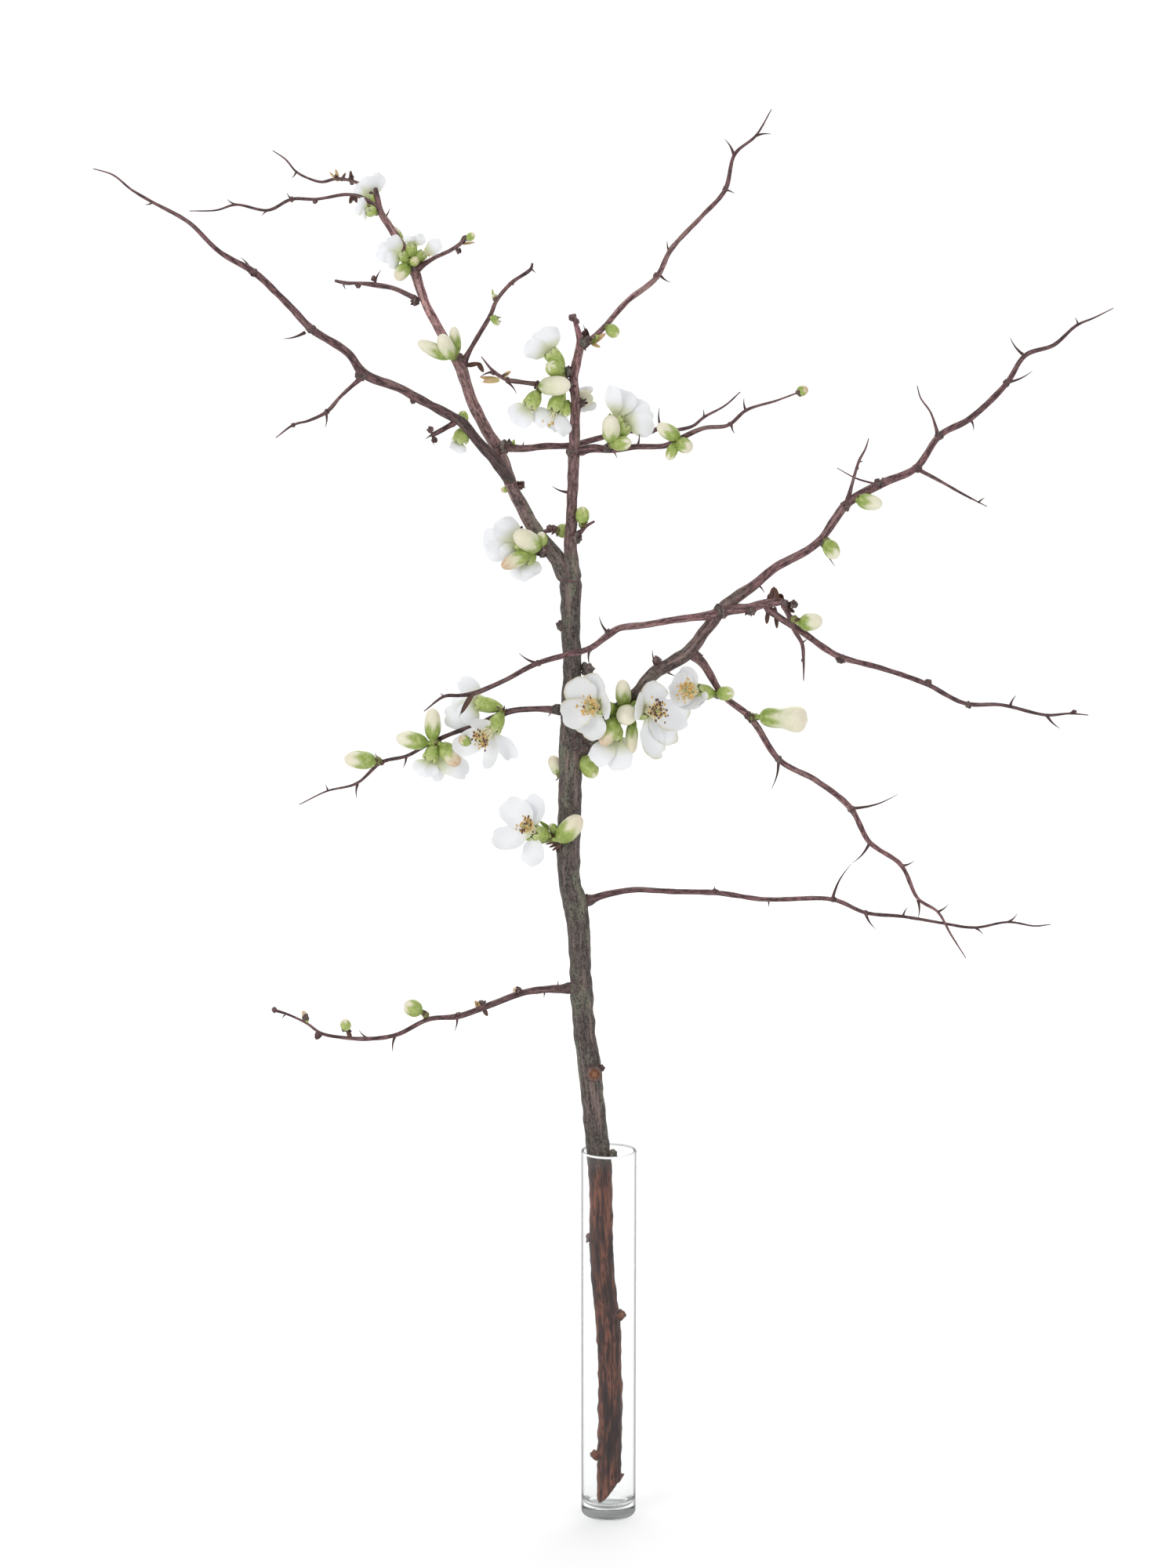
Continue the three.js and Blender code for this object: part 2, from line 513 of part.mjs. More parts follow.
// Each cluster sits on a limb at its seat. All depths in it are measured from the limb's middle.
// blooms: base and mouth of the calyx cup, the point that the open bloom faces (aim), the middle of
// the stamens' heads where they show, and the tip and width (mm) of each petal. Without an aim of
// its own, a bloom faces its stamens' heads.
// buds: [x, y, depth of the base, x, y, depth of the tip, width in mm].
const CLUSTERS = [
  {
    name: "trunk_spur", on: "trunk", seat: [703, 1070, -6],
    blooms: [
      {
        name: "bloom_trunk_spur", base: [701, 1067, -5], mouth: [684, 1062, -9],
        heads: [670, 1052, -18],
        petals: [[642, 1022, -6, 19], [676, 1013, 0, 17], [626, 1070, -10, 18], [676, 1105, -14, 18]],
      },
    ],
    buds: [[713, 1072, -9, 738, 1044, -17, 12.5], [709, 1064, -3, 703, 1051, -3, 5.5]],
  },
  {
    name: "mid_left_pair", on: "branch_mid_left", seat: [640, 907, -3],
    blooms: [
      {
        name: "bloom_mid_left_front", base: [640, 909, -3], mouth: [630, 929, -7],
        heads: [611, 944, -17],
        petals: [[600, 919, -14, 17], [653, 972, -4, 18], [620, 981, -12, 13], [579, 959, -4, 16]],
      },
      {
        name: "bloom_mid_left_back", base: [640, 903, 0], mouth: [613, 897, 4], aim: [595, 905, 16],
        petals: [[588, 918, 1, 15], [588, 864, 10, 16], [568, 921, 12, 17], [577, 893, 14, 17]],
      },
    ],
  },
  {
    name: "mid_left_bunch", on: "branch_mid_left", seat: [557, 947, -3],
    blooms: [
      {
        name: "bloom_mid_left_bunch", base: [557, 949, -2], mouth: [549, 966, -4], aim: [546, 985, 12],
        petals: [[534, 989, -8, 15], [552, 991, -9, 8], [598, 985, 5, 17], [565, 992, 4, 14]],
      },
    ],
    buds: [
      [552, 944, -3, 552, 906, -6, 10], [545, 948, -3, 508, 941, -8, 10.5],
      [564, 949, -5, 583, 974, -10, 11],
    ],
  },
  {
    name: "mid_left_bud", on: "branch_mid_left", seat: [483, 971, -2],
    buds: [[480, 971, -2, 442, 968, -7, 11]],
  },
  {
    name: "heart", on: "branch_right", seat: [797, 908, -6],
    blooms: [
      {
        name: "bloom_heart_left", base: [784, 905, -9], mouth: [765, 901, -17], heads: [750, 901, -30],
        petals: [
          [724, 871, -20, 20], [748, 860, -15, 18], [777, 898, -34, 18], [747, 942, -19, 21],
          [715, 914, -25, 20],
        ],
      },
      {
        name: "bloom_heart_right", base: [808, 911, -6], mouth: [822, 907, -13],
        heads: [841, 905, -26],
        petals: [
          [843, 872, -9, 19], [812, 896, -30, 18], [881, 915, -9, 20], [842, 967, -13, 18],
          [864, 944, -3, 17],
        ],
      },
      {
        name: "bloom_heart_low", base: [788, 924, -7], mouth: [784, 939, -9], aim: [785, 962, 6],
        petals: [[758, 975, -14, 16], [793, 983, -13, 17], [776, 972, 2, 15], [806, 966, 2, 14]],
      },
    ],
    buds: [
      [796, 901, -7, 794, 869, -10, 9.5], [799, 908, -9, 797, 915, -24, 12.5],
      [787, 916, -11, 769, 948, -19, 10.5], [806, 921, -6, 806, 959, -9, 7.5],
    ],
  },
  {
    name: "drop_pair", on: "branch_drop", seat: [914, 885, -3],
    blooms: [
      {
        name: "bloom_drop", base: [911, 885, -2], mouth: [892, 882, -8], heads: [875, 879, -20],
        petals: [
          [868, 852, -8, 13], [853, 886, -18, 16], [877, 905, -19, 18], [858, 866, -8, 15],
          [893, 899, -19, 14],
        ],
      },
    ],
    buds: [[915, 885, -3, 933, 884, -9, 8.5]],
  },
  {
    name: "drop_side", on: "branch_drop", seat: [960, 914, -2],
    buds: [[965, 915, -2, 1028, 918, -10, 14]],
  },
  {
    name: "fork_bud", on: "trunk", seat: [744, 966, -2],
    buds: [[744, 965, -2, 758, 989, -5, 10.5]],
  },
  {
    name: "hidden_bud", on: "trunk", seat: [714, 988, 3],
    buds: [[714, 988, 3, 704, 966, 6, 8.5]],
  },
  {
    name: "leader_spur", on: "leader_left", seat: [688, 700, -4],
    blooms: [
      {
        name: "bloom_leader_spur", base: [684, 699, -4], mouth: [662, 693, -6], aim: [646, 690, 10],
        petals: [
          [636, 663, -2, 17], [615, 687, -3, 17], [619, 706, -4, 15], [641, 713, -6, 14],
          [630, 674, 9, 16],
        ],
      },
      {
        name: "bloom_leader_low", base: [682, 704, -2], mouth: [673, 711, -3], aim: [668, 724, 10],
        petals: [[681, 735, -4, 14], [659, 740, -2, 14], [668, 738, 6, 13]],
      },
    ],
    buds: [
      [688, 699, -7, 659, 681, -14, 12.5], [692, 696, -5, 690, 680, -7, 7],
      [676, 705, -8, 642, 722, -12, 9.5],
    ],
  },
  {
    name: "between_bud", on: "spur_between", seat: [711, 676, 1],
    buds: [[711, 676, 1, 726, 678, 5, 8.5]],
  },
  {
    name: "right_spur_bud", on: "spur_right", seat: [743, 669, -1],
    buds: [[743, 668, -1, 743, 648, -3, 8]],
  },
  {
    name: "crown", on: "leader_right", seat: [717, 480, -5],
    blooms: [
      {
        name: "bloom_crown", base: [718, 470, -4], mouth: [704, 452, -5], aim: [690, 430, 9],
        petals: [[696, 416, -7, 16], [669, 440, -6, 15], [683, 424, 4, 15]],
      },
      {
        name: "bloom_crown_low", base: [713, 503, -4], mouth: [708, 520, -6], aim: [702, 540, 2],
        heads: [700, 541, -8],
        petals: [[681, 539, -8, 16], [722, 556, -6, 12], [700, 548, 6, 15]],
      },
    ],
    buds: [[714, 475, -6, 702, 466, -12, 9.5], [719, 512, -3, 723, 530, -5, 6]],
  },
  {
    name: "crown_left", on: "twig_bloom_left", seat: [689, 495, -3],
    blooms: [
      {
        name: "bloom_crown_left", base: [687, 499, -3], mouth: [677, 515, -5], aim: [668, 530, 4],
        petals: [[649, 532, -3, 12], [661, 545, -8, 12]],
      },
    ],
    buds: [[689, 493, -6, 724, 491, -14, 12]],
  },
  {
    name: "crown_back", on: "leader_right", seat: [742, 514, 4],
    blooms: [
      {
        name: "bloom_crown_back", base: [743, 509, 4.5], mouth: [746, 508, 9], aim: [752, 508, 22],
        petals: [[744, 493, 11, 12], [751, 525, 10, 12]],
      },
    ],
  },
  {
    name: "twig_right_pair", on: "twig_right", seat: [780, 567, -4],
    blooms: [
      {
        name: "bloom_twig_tall", base: [782, 556, -3], mouth: [785, 534, -4], aim: [792, 515, 8],
        petals: [[782, 491, -10, 11], [800, 497, -4, 17], [812, 508, 4, 16]],
      },
      {
        name: "bloom_twig_side", base: [788, 557, -2], mouth: [796, 544, -3], aim: [812, 535, 8],
        petals: [[828, 516, -1, 18], [834, 540, -6, 16], [815, 520, 6, 15]],
      },
    ],
    buds: [[779, 563, -5, 778, 533, -13, 11], [780, 567, -5, 803, 564, -10, 8.5]],
  },
  {
    name: "twig_right_buds", on: "twig_right", seat: [866, 562, -3],
    buds: [
      [866, 559, -3, 841, 543, -8, 9], [864, 563, -3, 881, 572, -6, 9],
      [862, 565, -3, 853, 585, -6, 6.5],
    ],
  },
  {
    name: "leader_top", on: "leader_left", seat: [524, 332, -4],
    blooms: [
      {
        name: "bloom_top_left", base: [523, 334, -3], mouth: [513, 326, -5], aim: [498, 322, 10],
        petals: [[479, 321, -5, 16], [499, 303, -3, 15], [492, 337, -7, 14]],
      },
      {
        name: "bloom_top_up", base: [525, 330, -3], mouth: [525, 314, -4], aim: [528, 300, 8],
        petals: [[524, 299, -8, 13], [541, 299, -5, 13]],
      },
      {
        name: "bloom_top_right", base: [530, 333, -2], mouth: [539, 324, -3], aim: [556, 316, 4],
        petals: [[563, 311, -6, 11], [559, 316, 2, 11]],
      },
    ],
    buds: [[521, 337, -5, 507, 355, -8, 8.5], [527, 336, -7, 530, 331, -14, 5.5]],
  },
  {
    name: "leader_top_bud", on: "leader_left", seat: [515, 314, 3],
    buds: [[514, 313, 3, 503, 290, 4, 5]],
  },
  {
    name: "leader_tip", on: "leader_left", seat: [480, 270, 1],
    blooms: [
      {
        name: "bloom_tip_up", base: [479, 266, 3], mouth: [472, 252, 3], aim: [468, 238, 18],
        petals: [[456, 232, 5, 16], [487, 218, 8, 15], [471, 222, 3, 14]],
      },
      {
        name: "bloom_tip_left", base: [478, 272, -2], mouth: [471, 268, -4], aim: [458, 268, 8],
        petals: [[455, 261, -7, 13], [462, 276, -6, 12]],
      },
    ],
  },
  {
    name: "leader_buds", on: "leader_left", seat: [579, 456, -4],
    buds: [
      [573, 456, -4, 535, 437, -8, 8.5], [577, 457, -6, 563, 429, -12, 9.5],
      [582, 452, -2, 579, 418, -1, 7],
    ],
  },
  {
    name: "arch_back", on: "arch_left", seat: [592, 544, 4],
    blooms: [
      {
        name: "bloom_arch_back", base: [592, 546, 4], mouth: [588, 559, 5], aim: [582, 575, 14],
        petals: [[582, 577, 1, 11], [577, 569, 7, 10]],
      },
    ],
    buds: [[592, 541, 4, 590, 525, 5, 6]],
  },
  {
    name: "right_bud", on: "branch_right", seat: [1094, 637, -2],
    buds: [[1093, 637, -2, 1123, 643, -7, 9.5]],
  },
  {
    name: "right_low_bud", on: "branch_right", seat: [1054, 690, -3],
    buds: [[1054, 690, -3, 1066, 710, -7, 9.5]],
  },
  {
    name: "hang_bud", on: "twig_hang", seat: [1013, 790, -2],
    buds: [[1013, 790, -2, 1048, 795, -6, 11]],
  },
  {
    name: "low_left_bud", on: "branch_low_left", seat: [543, 1294, -2],
    buds: [[541, 1293, -2, 513, 1283, -6, 9.5]],
  },
  {
    name: "north_east_bud", on: "ne_branch", seat: [775, 417, -2],
    buds: [[775, 416, -2, 787, 427, -4, 7.5]],
  },
];

function place({ on, seat }, [x, y, depth]) {
  return at(x, y, depthOn(on, seat[0], seat[1]) + depth);
}

// A round body along a chain of points, with a radius at each point.
function chain(points, radii, sides, grow, endReach) {
  const last = points.length - 1;
  const stations = points.map((point, k) => ({
    point,
    along: points[Math.min(k + 1, last)].clone().sub(points[Math.max(k - 1, 0)]).normalize(),
    radius: radii[k] + grow,
  }));
  stations[0].point = points[0].clone().addScaledVector(stations[0].along, -grow);
  stations[last].point = points[last].clone().addScaledVector(stations[last].along, grow);
  return sweep(stations, sides, { endReach });
}

// A short stalk from the cluster's knot leads into each cup and bud, unless it sits on the knot.
function stalked(seat, base, points, radii, sides, grow, endReach) {
  if (seat.distanceTo(base) < STALK.reach) return chain(points, radii, sides, grow, endReach);
  return chain([seat, ...points], [STALK.radius, ...radii], sides, grow, endReach);
}

// The green cup under a bloom: five sided, a lobe at each corner of its hollow mouth.
function calyx(seat, base, mouth, grow) {
  const points = [base, base.clone().lerp(mouth, 0.5), mouth];
  const radii = [CALYX.stalk, CALYX.body, CALYX.mouth];
  return stalked(seat, base, points, radii, CALYX.sides, grow, -CALYX.hollow);
}

// A closed bud: narrow foot, full middle, blunt tip.
function bud(seat, base, tip, width, grow) {
  const profile = width > BUD.wide ? BUD.wideProfile : BUD.slimProfile;
  const points = profile.map(([along]) => base.clone().lerp(tip, along));
  const radii = profile.map(([, part]) => (part * width) / 2);
  return stalked(seat, base, points, radii, BUD.sides, grow);
}

// Unit directions of a petal: along it, out of its inner face, and across it.
function petalFrame(hub, axis, tip) {
  const along = tip.clone().sub(hub).normalize();
  const lift = along.dot(axis);
  const outward = along.clone().addScaledVector(axis, -lift).normalize();
  const open = Math.sqrt(Math.max(0, 1 - lift * lift));
  const inner = axis.clone().multiplyScalar(open).addScaledVector(outward, -lift).normalize();
  return { along, inner, across: along.clone().cross(inner) };
}

const PETAL_ROWS = [0, 0.42, 0.82, 1];          // places along the blade
const PETAL_WIDTHS = [0.16, 0.94, 0.96, 0.5];    // width there, as part of the full width
const PETAL_COLUMNS = [-1, 0, 1];

// One petal: a cupped, waved blade with a narrow claw, its root beside the middle of the hub.
// Both faces carry the same grid and meet along the edge.
function petal(hub, axis, tip, width, phase, grow) {
  const { along, inner, across } = petalFrame(hub, axis, tip);
  const root = hub.clone().addScaledVector(along, PETAL.claw);
  const length = root.distanceTo(tip);
  const columns = PETAL_COLUMNS.length;
  const rows = PETAL_ROWS.length;
  const [upper, lower] = [[], []];
  PETAL_ROWS.forEach((u, row) => PETAL_COLUMNS.forEach((v) => {
    const atTip = row === rows - 1;
    const rounding = atTip ? PETAL.rounding * v * v : 0;
    const cup = -PETAL.cup * length * Math.sin(Math.PI * u ** 1.5);
    const roll = PETAL.roll * width * v * v * u * (1.3 - u);
    const wave = PETAL.wave * u * u * Math.sin(3 * v + phase);
    const middle = root.clone()
      .addScaledVector(along, (u - rounding) * length + (atTip ? grow : 0))
      .addScaledVector(across, (v * (PETAL_WIDTHS[row] * width + 2 * grow)) / 2)
      .addScaledVector(inner, cup + roll + wave);
    const atEdge = Math.abs(v) === 1 || row === 0 || atTip;
    const half = atEdge ? 0 : PETAL.thickness / 2 + grow;
    upper.push(middle.clone().addScaledVector(inner, half));
    lower.push(middle.clone().addScaledVector(inner, -half));
  }));
  return blade(upper, lower, rows, columns);
}

// A closed blade between two like grids of points that share their edge.
function blade(upper, lower, rows, columns) {
  const under = upper.length;
  const index = [];
  for (let row = 0; row < rows - 1; row += 1) {
    for (let column = 0; column < columns - 1; column += 1) {
      const a = row * columns + column;
      const [b, c, d] = [a + 1, a + columns + 1, a + columns];
      index.push(a, b, c, a, c, d);
      index.push(under + a, under + c, under + b, under + a, under + d, under + c);
    }
  }
  const geometry = new THREE.BufferGeometry();
  const positions = [...upper, ...lower].flatMap((p) => [p.x, p.y, p.z]);
  geometry.setAttribute("position", new THREE.Float32BufferAttribute(positions, 3));
  geometry.setIndex(index);
  return solidOf(geometry);
}

function greensSolid(cluster, grow) {
  const seat = place(cluster, cluster.seat);
  const cups = (cluster.blooms ?? []).map(({ base, mouth }) => (
    calyx(seat, place(cluster, base), place(cluster, mouth), grow)));
  const buds = (cluster.buds ?? []).map(([x0, y0, depth0, x1, y1, depth1, width]) => (
    bud(seat, place(cluster, [x0, y0, depth0]), place(cluster, [x1, y1, depth1]), width, grow)));
  return join([knot(seat, STALK.knot + grow), ...cups, ...buds]);
}

function petalsSolid(cluster, bloom, grow) {
  const mouth = place(cluster, bloom.mouth);
  const axis = place(cluster, bloom.aim ?? bloom.heads).sub(mouth).normalize();
  const hub = mouth.clone().addScaledVector(axis, HUB.lift);
  const solids = [knot(hub, HUB.radius + grow)];
  bloom.petals.forEach(([x, y, depth, width], number) => {
    solids.push(petal(hub, axis, place(cluster, [x, y, depth]), width, number * PETAL.turn, grow));
  });
  return join(solids);
}

// Stamens fan out from a small seat on the bloom's hub, each a filament with a thicker head.
function stamensSolid(cluster, bloom) {
  const mouth = place(cluster, bloom.mouth);
  const heads = place(cluster, bloom.heads);
  const axis = heads.clone().sub(mouth).normalize();
  const seat = mouth.clone().addScaledVector(axis, HUB.lift + HUB.radius);
  const reach = Math.max(heads.distanceTo(seat), STAMENS.shortest);
  const across = new THREE.Vector3(0, 0, 1).cross(axis).normalize();
  const over = axis.clone().cross(across);
  const solids = [knot(seat, STAMENS.seat)];
  for (let number = 0; number < STAMENS.count; number += 1) {
    const angle = (2 * Math.PI * number) / STAMENS.count;
    const spread = number === 0 ? 0 : STAMENS.spread;
    const along = axis.clone()
      .addScaledVector(across, spread * Math.cos(angle))
      .addScaledVector(over, spread * Math.sin(angle))
      .normalize();
    const root = seat.clone().addScaledVector(along, STAMENS.seat / 2);
    const tip = seat.clone().addScaledVector(along, reach);
    solids.push(chain([root, tip], [STAMENS.filament, STAMENS.anther], 3, 0));
  }
  return join(solids);
}

// ---------------------------------------------------------------- the vase

function vaseGeometry() {
  const { height, radius, wall, floor, heel, lip, sides } = VASE;
  const inner = radius - wall;
  const profile = [new THREE.Vector2(0, 0)];
  for (let step = 0; step <= 3; step += 1) {
    const angle = (Math.PI / 6) * step;
    const [out, up] = [heel * Math.sin(angle), heel * (1 - Math.cos(angle))];
    profile.push(new THREE.Vector2(radius - heel + out, up));
  }
  profile.push(new THREE.Vector2(radius, height - lip));
  profile.push(new THREE.Vector2(radius - wall / 2, height));
  profile.push(new THREE.Vector2(inner, height - lip));
  profile.push(new THREE.Vector2(inner, floor + heel));
  profile.push(new THREE.Vector2(inner - heel / 2, floor + heel / 4));
  profile.push(new THREE.Vector2(inner - 2 * heel, floor));
  profile.push(new THREE.Vector2(0, floor));
  return new THREE.LatheGeometry(profile, sides).rotateX(Math.PI / 2);
}

// ---------------------------------------------------------------- assembly

const MATERIALS = {
  glass: new THREE.MeshStandardMaterial({
    color: 0xdfe6e6, roughness: 0.05, transparent: true, opacity: 0.4,
  }),
  wood: new THREE.MeshStandardMaterial({ color: 0x5b4842, roughness: 0.85 }),
  green: new THREE.MeshStandardMaterial({ color: 0x9bb55a, roughness: 0.6 }),
  petal: new THREE.MeshStandardMaterial({ color: 0xf7f7f5, roughness: 0.55 }),
  stamen: new THREE.MeshStandardMaterial({ color: 0xe3b968, roughness: 0.7 }),
};

const branch = new THREE.Group();

function addPiece(name, geometry, material) {
  const mesh = new THREE.Mesh(geometry, material);
  mesh.name = name;
  branch.add(mesh);
}

LIMBS.forEach(layOut);
addPiece("vase", vaseGeometry(), MATERIALS.glass);
addPiece("wood", geometryOf(woodSolid(0)), MATERIALS.wood);

// Each later solid is cut clear of all that was placed before it, by the width of the gap.
let taken = woodSolid(GAP);

function addClear(name, solid, grown, material) {
  addPiece(name, geometryOf(mainBody(solid.subtract(taken))), material);
  taken = taken.add(grown);
}

CLUSTERS.forEach((cluster) => {
  const grown = greensSolid(cluster, GAP);
  addClear(`greens_${cluster.name}`, greensSolid(cluster, 0), grown, MATERIALS.green);
});
const blooms = CLUSTERS.flatMap((cluster) => (cluster.blooms ?? []).map((bloom) => ({ cluster, bloom })));
blooms.forEach(({ cluster, bloom }) => {
  const grown = petalsSolid(cluster, bloom, GAP);
  addClear(`petals_${bloom.name}`, petalsSolid(cluster, bloom, 0), grown, MATERIALS.petal);
});
blooms.filter(({ bloom }) => bloom.heads).forEach(({ cluster, bloom }) => {
  const stamens = stamensSolid(cluster, bloom);
  addClear(`stamens_${bloom.name}`, stamens, stamens, MATERIALS.stamen);
});

export default branch;
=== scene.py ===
"""A cut branch of white flowering quince in a glass cylinder vase.

Lengths are millimetres in the frame of the CAD model; MM turns them into metres where a mesh is
made. Z is up, the front is towards -Y.
"""
import json
import math
from collections import namedtuple
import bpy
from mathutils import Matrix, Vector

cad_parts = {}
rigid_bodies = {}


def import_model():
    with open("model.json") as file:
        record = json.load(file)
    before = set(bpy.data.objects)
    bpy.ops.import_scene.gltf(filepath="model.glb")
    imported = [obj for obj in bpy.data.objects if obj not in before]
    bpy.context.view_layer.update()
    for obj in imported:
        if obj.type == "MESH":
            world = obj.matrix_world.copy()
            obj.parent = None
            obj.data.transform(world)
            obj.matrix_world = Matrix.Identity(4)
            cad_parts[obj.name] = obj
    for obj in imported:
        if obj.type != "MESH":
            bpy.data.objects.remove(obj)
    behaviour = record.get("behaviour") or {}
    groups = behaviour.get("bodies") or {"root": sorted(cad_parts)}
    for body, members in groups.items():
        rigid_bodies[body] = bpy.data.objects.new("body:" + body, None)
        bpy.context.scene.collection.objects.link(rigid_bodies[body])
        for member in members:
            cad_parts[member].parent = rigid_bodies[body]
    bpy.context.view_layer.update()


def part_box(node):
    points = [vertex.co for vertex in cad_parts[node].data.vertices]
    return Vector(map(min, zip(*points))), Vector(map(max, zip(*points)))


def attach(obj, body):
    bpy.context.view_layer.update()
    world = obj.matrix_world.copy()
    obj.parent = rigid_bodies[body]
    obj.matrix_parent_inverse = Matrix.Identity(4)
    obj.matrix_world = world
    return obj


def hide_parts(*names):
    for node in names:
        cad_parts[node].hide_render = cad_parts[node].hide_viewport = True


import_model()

from types import SimpleNamespace as Sizes

import bpy
import numpy as np
from mathutils import Vector, noise

MM = 0.001
SEED = 638
GOLDEN_ANGLE = 2.39996

# ---------------------------------------------------------------- front drawing

# Every route is laid out on a sheet ruled in half millimetres, as the branch is seen from a
# standpoint in front of it and a little above. x runs right and y runs down the sheet; depth is
# millimetres behind the vase's axis. A point slides along its line of sight to its depth.
STANDPOINT = np.array([-13.5, -2300.0, 881.0])
SHEET_RULE = 0.5
SHEET_MIDDLE = (750, 1000)
SHEET_CENTRE = np.array([-13.5, 0.0, 487.8])
SHEET_UP = np.array([0.0, 0.1685, 0.9857])
X_AXIS, Y_AXIS, Z_AXIS = np.eye(3)


def at(x, y, depth):
    on_sheet = SHEET_CENTRE + (x - SHEET_MIDDLE[0]) * SHEET_RULE * X_AXIS
    on_sheet = on_sheet + (SHEET_MIDDLE[1] - y) * SHEET_RULE * SHEET_UP
    sight = on_sheet - STANDPOINT
    return STANDPOINT + sight * (depth - STANDPOINT[1]) / sight[1]


def unit(vector):
    return vector / np.linalg.norm(vector)


def mix(a, b, part):
    return a + (b - a) * part


def smooth(low, high, value):
    part = np.clip((value - low) / (high - low), 0, 1)
    return part * part * (3 - 2 * part)


def turns(count):
    """Angles spread evenly over a full turn."""
    return 2 * np.pi * np.arange(count) / count


def run_along(points):
    """How far along a path each of its points lies."""
    return np.concatenate([[0], np.cumsum(np.linalg.norm(np.diff(points, axis=0), axis=1))])


# ---------------------------------------------------------------- meshes


class Shape:
    """Points and faces gathered for one mesh, with named values, its tones, at each point."""

    def __init__(self):
        self.points, self.faces, self.tones, self.count = [], [], {}, 0

    def add(self, points, faces, **tones):
        points = np.asarray(points, float).reshape(-1, 3)
        self.faces += [tuple(int(i) + self.count for i in face) for face in faces]
        self.points.append(points)
        for name in {**self.tones, **tones}:
            kept = self.tones.setdefault(name, [np.zeros(self.count)])
            kept.append(np.broadcast_to(tones.get(name, 0.0), len(points)).astype(float))
        self.count += len(points)

    def mesh(self, name):
        mesh = bpy.data.meshes.new(name)
        mesh.from_pydata((np.concatenate(self.points) * MM).tolist(), [], self.faces)
        for tone, values in self.tones.items():
            layer = mesh.attributes.new(tone, "FLOAT", "POINT")
            layer.data.foreach_set("value", np.concatenate(values))
        mesh.shade_smooth()
        return mesh


def linked(item):
    bpy.context.scene.collection.objects.link(item)
    return item


def shown(name, mesh, material, slot, *replaced):
    """Puts a mesh in the scene as a piece of the object."""
    piece = linked(bpy.data.objects.new(name, mesh))
    mesh.materials.clear()
    mesh.materials.append(material)
    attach(piece, "root")
    if replaced:
        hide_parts(*replaced)


def skin_faces(rings, sides):
    """Quads around rings of points, and a fan to one more point at each end."""
    low = np.arange(rings - 1)[:, None] * sides
    side = np.arange(sides)[None, :]
    following = (side + 1) % sides
    quads = np.stack([low + side, low + following, low + sides + following, low + sides + side], -1)
    start, last = rings * sides, (rings - 1) * sides
    fans = [(start, (s + 1) % sides, s) for s in range(sides)]
    fans += [(start + 1, last + s, last + (s + 1) % sides) for s in range(sides)]
    return quads.reshape(-1, 4).tolist() + fans


def two_sided(faces, count):
    """The faces of a blade's upper skin, and those of the lower, whose points start at count."""
    order = [0, *range(faces.shape[1] - 1, 0, -1)]
    return [*faces, *(faces[:, order] + count)]


def frames(alongs):
    """Two directions across a path at each of its points, carried without twist."""
    across = unit(np.cross(Z_AXIS if abs(alongs[0][2]) < 0.9 else X_AXIS, alongs[0]))
    found = []
    for along in alongs:
        across = unit(across - along * across.dot(along))
        found.append((across, np.cross(along, across)))
    return found


CAP = 0.5       # how far a tube's end points stand out, as part of its radius


def tube(points, radii, sides, relief=0, end_reach=CAP):
    """Rings around a path, closed by an end point at each end. relief is added to the radii."""
    points = np.asarray(points, float)
    alongs = np.gradient(points, axis=0)
    alongs /= np.linalg.norm(alongs, axis=1)[:, None]
    angles = turns(sides)
    across = np.array(frames(alongs))
    size = np.asarray(radii, float)[:, None] + relief
    rings = (points[:, None]
             + (size * np.cos(angles))[..., None] * across[:, 0][:, None]
             + (size * np.sin(angles))[..., None] * across[:, 1][:, None])
    start = points[0] - alongs[0] * radii[0] * CAP
    end = points[-1] + alongs[-1] * radii[-1] * end_reach
    return np.concatenate([rings.reshape(-1, 3), [start, end]]), skin_faces(len(points), sides)


def ball(centre, radius, rings=9, sides=14, tall=1.0, rough=0.0, grain=1.0):
    """A closed ball, drawn out along Z by tall and made lumpy by noise when rough is given."""
    polar, turn = np.pi * (np.arange(rings) + 1) / (rings + 1), turns(sides)
    ways = np.stack([np.sin(polar)[:, None] * np.cos(turn), np.sin(polar)[:, None] * np.sin(turn),
                     np.repeat(-np.cos(polar)[:, None], sides, 1)], -1).reshape(-1, 3)
    ways = np.concatenate([ways, [-Z_AXIS, Z_AXIS]])
    if rough:
        swell = [1 + rough * noise.noise(Vector((centre + radius * way) / (radius * grain)))
                 for way in ways]
        ways = ways * np.array(swell)[:, None]
    return centre + radius * ways * np.array((1, 1, tall)), skin_faces(rings, sides)


LEAFLET = Sizes(start=0.12, tip=0.03,      # where its rounding starts, half the width of its tip, mm
                wall=(0.04, 0.98))         # the part of its length that has its full thickness


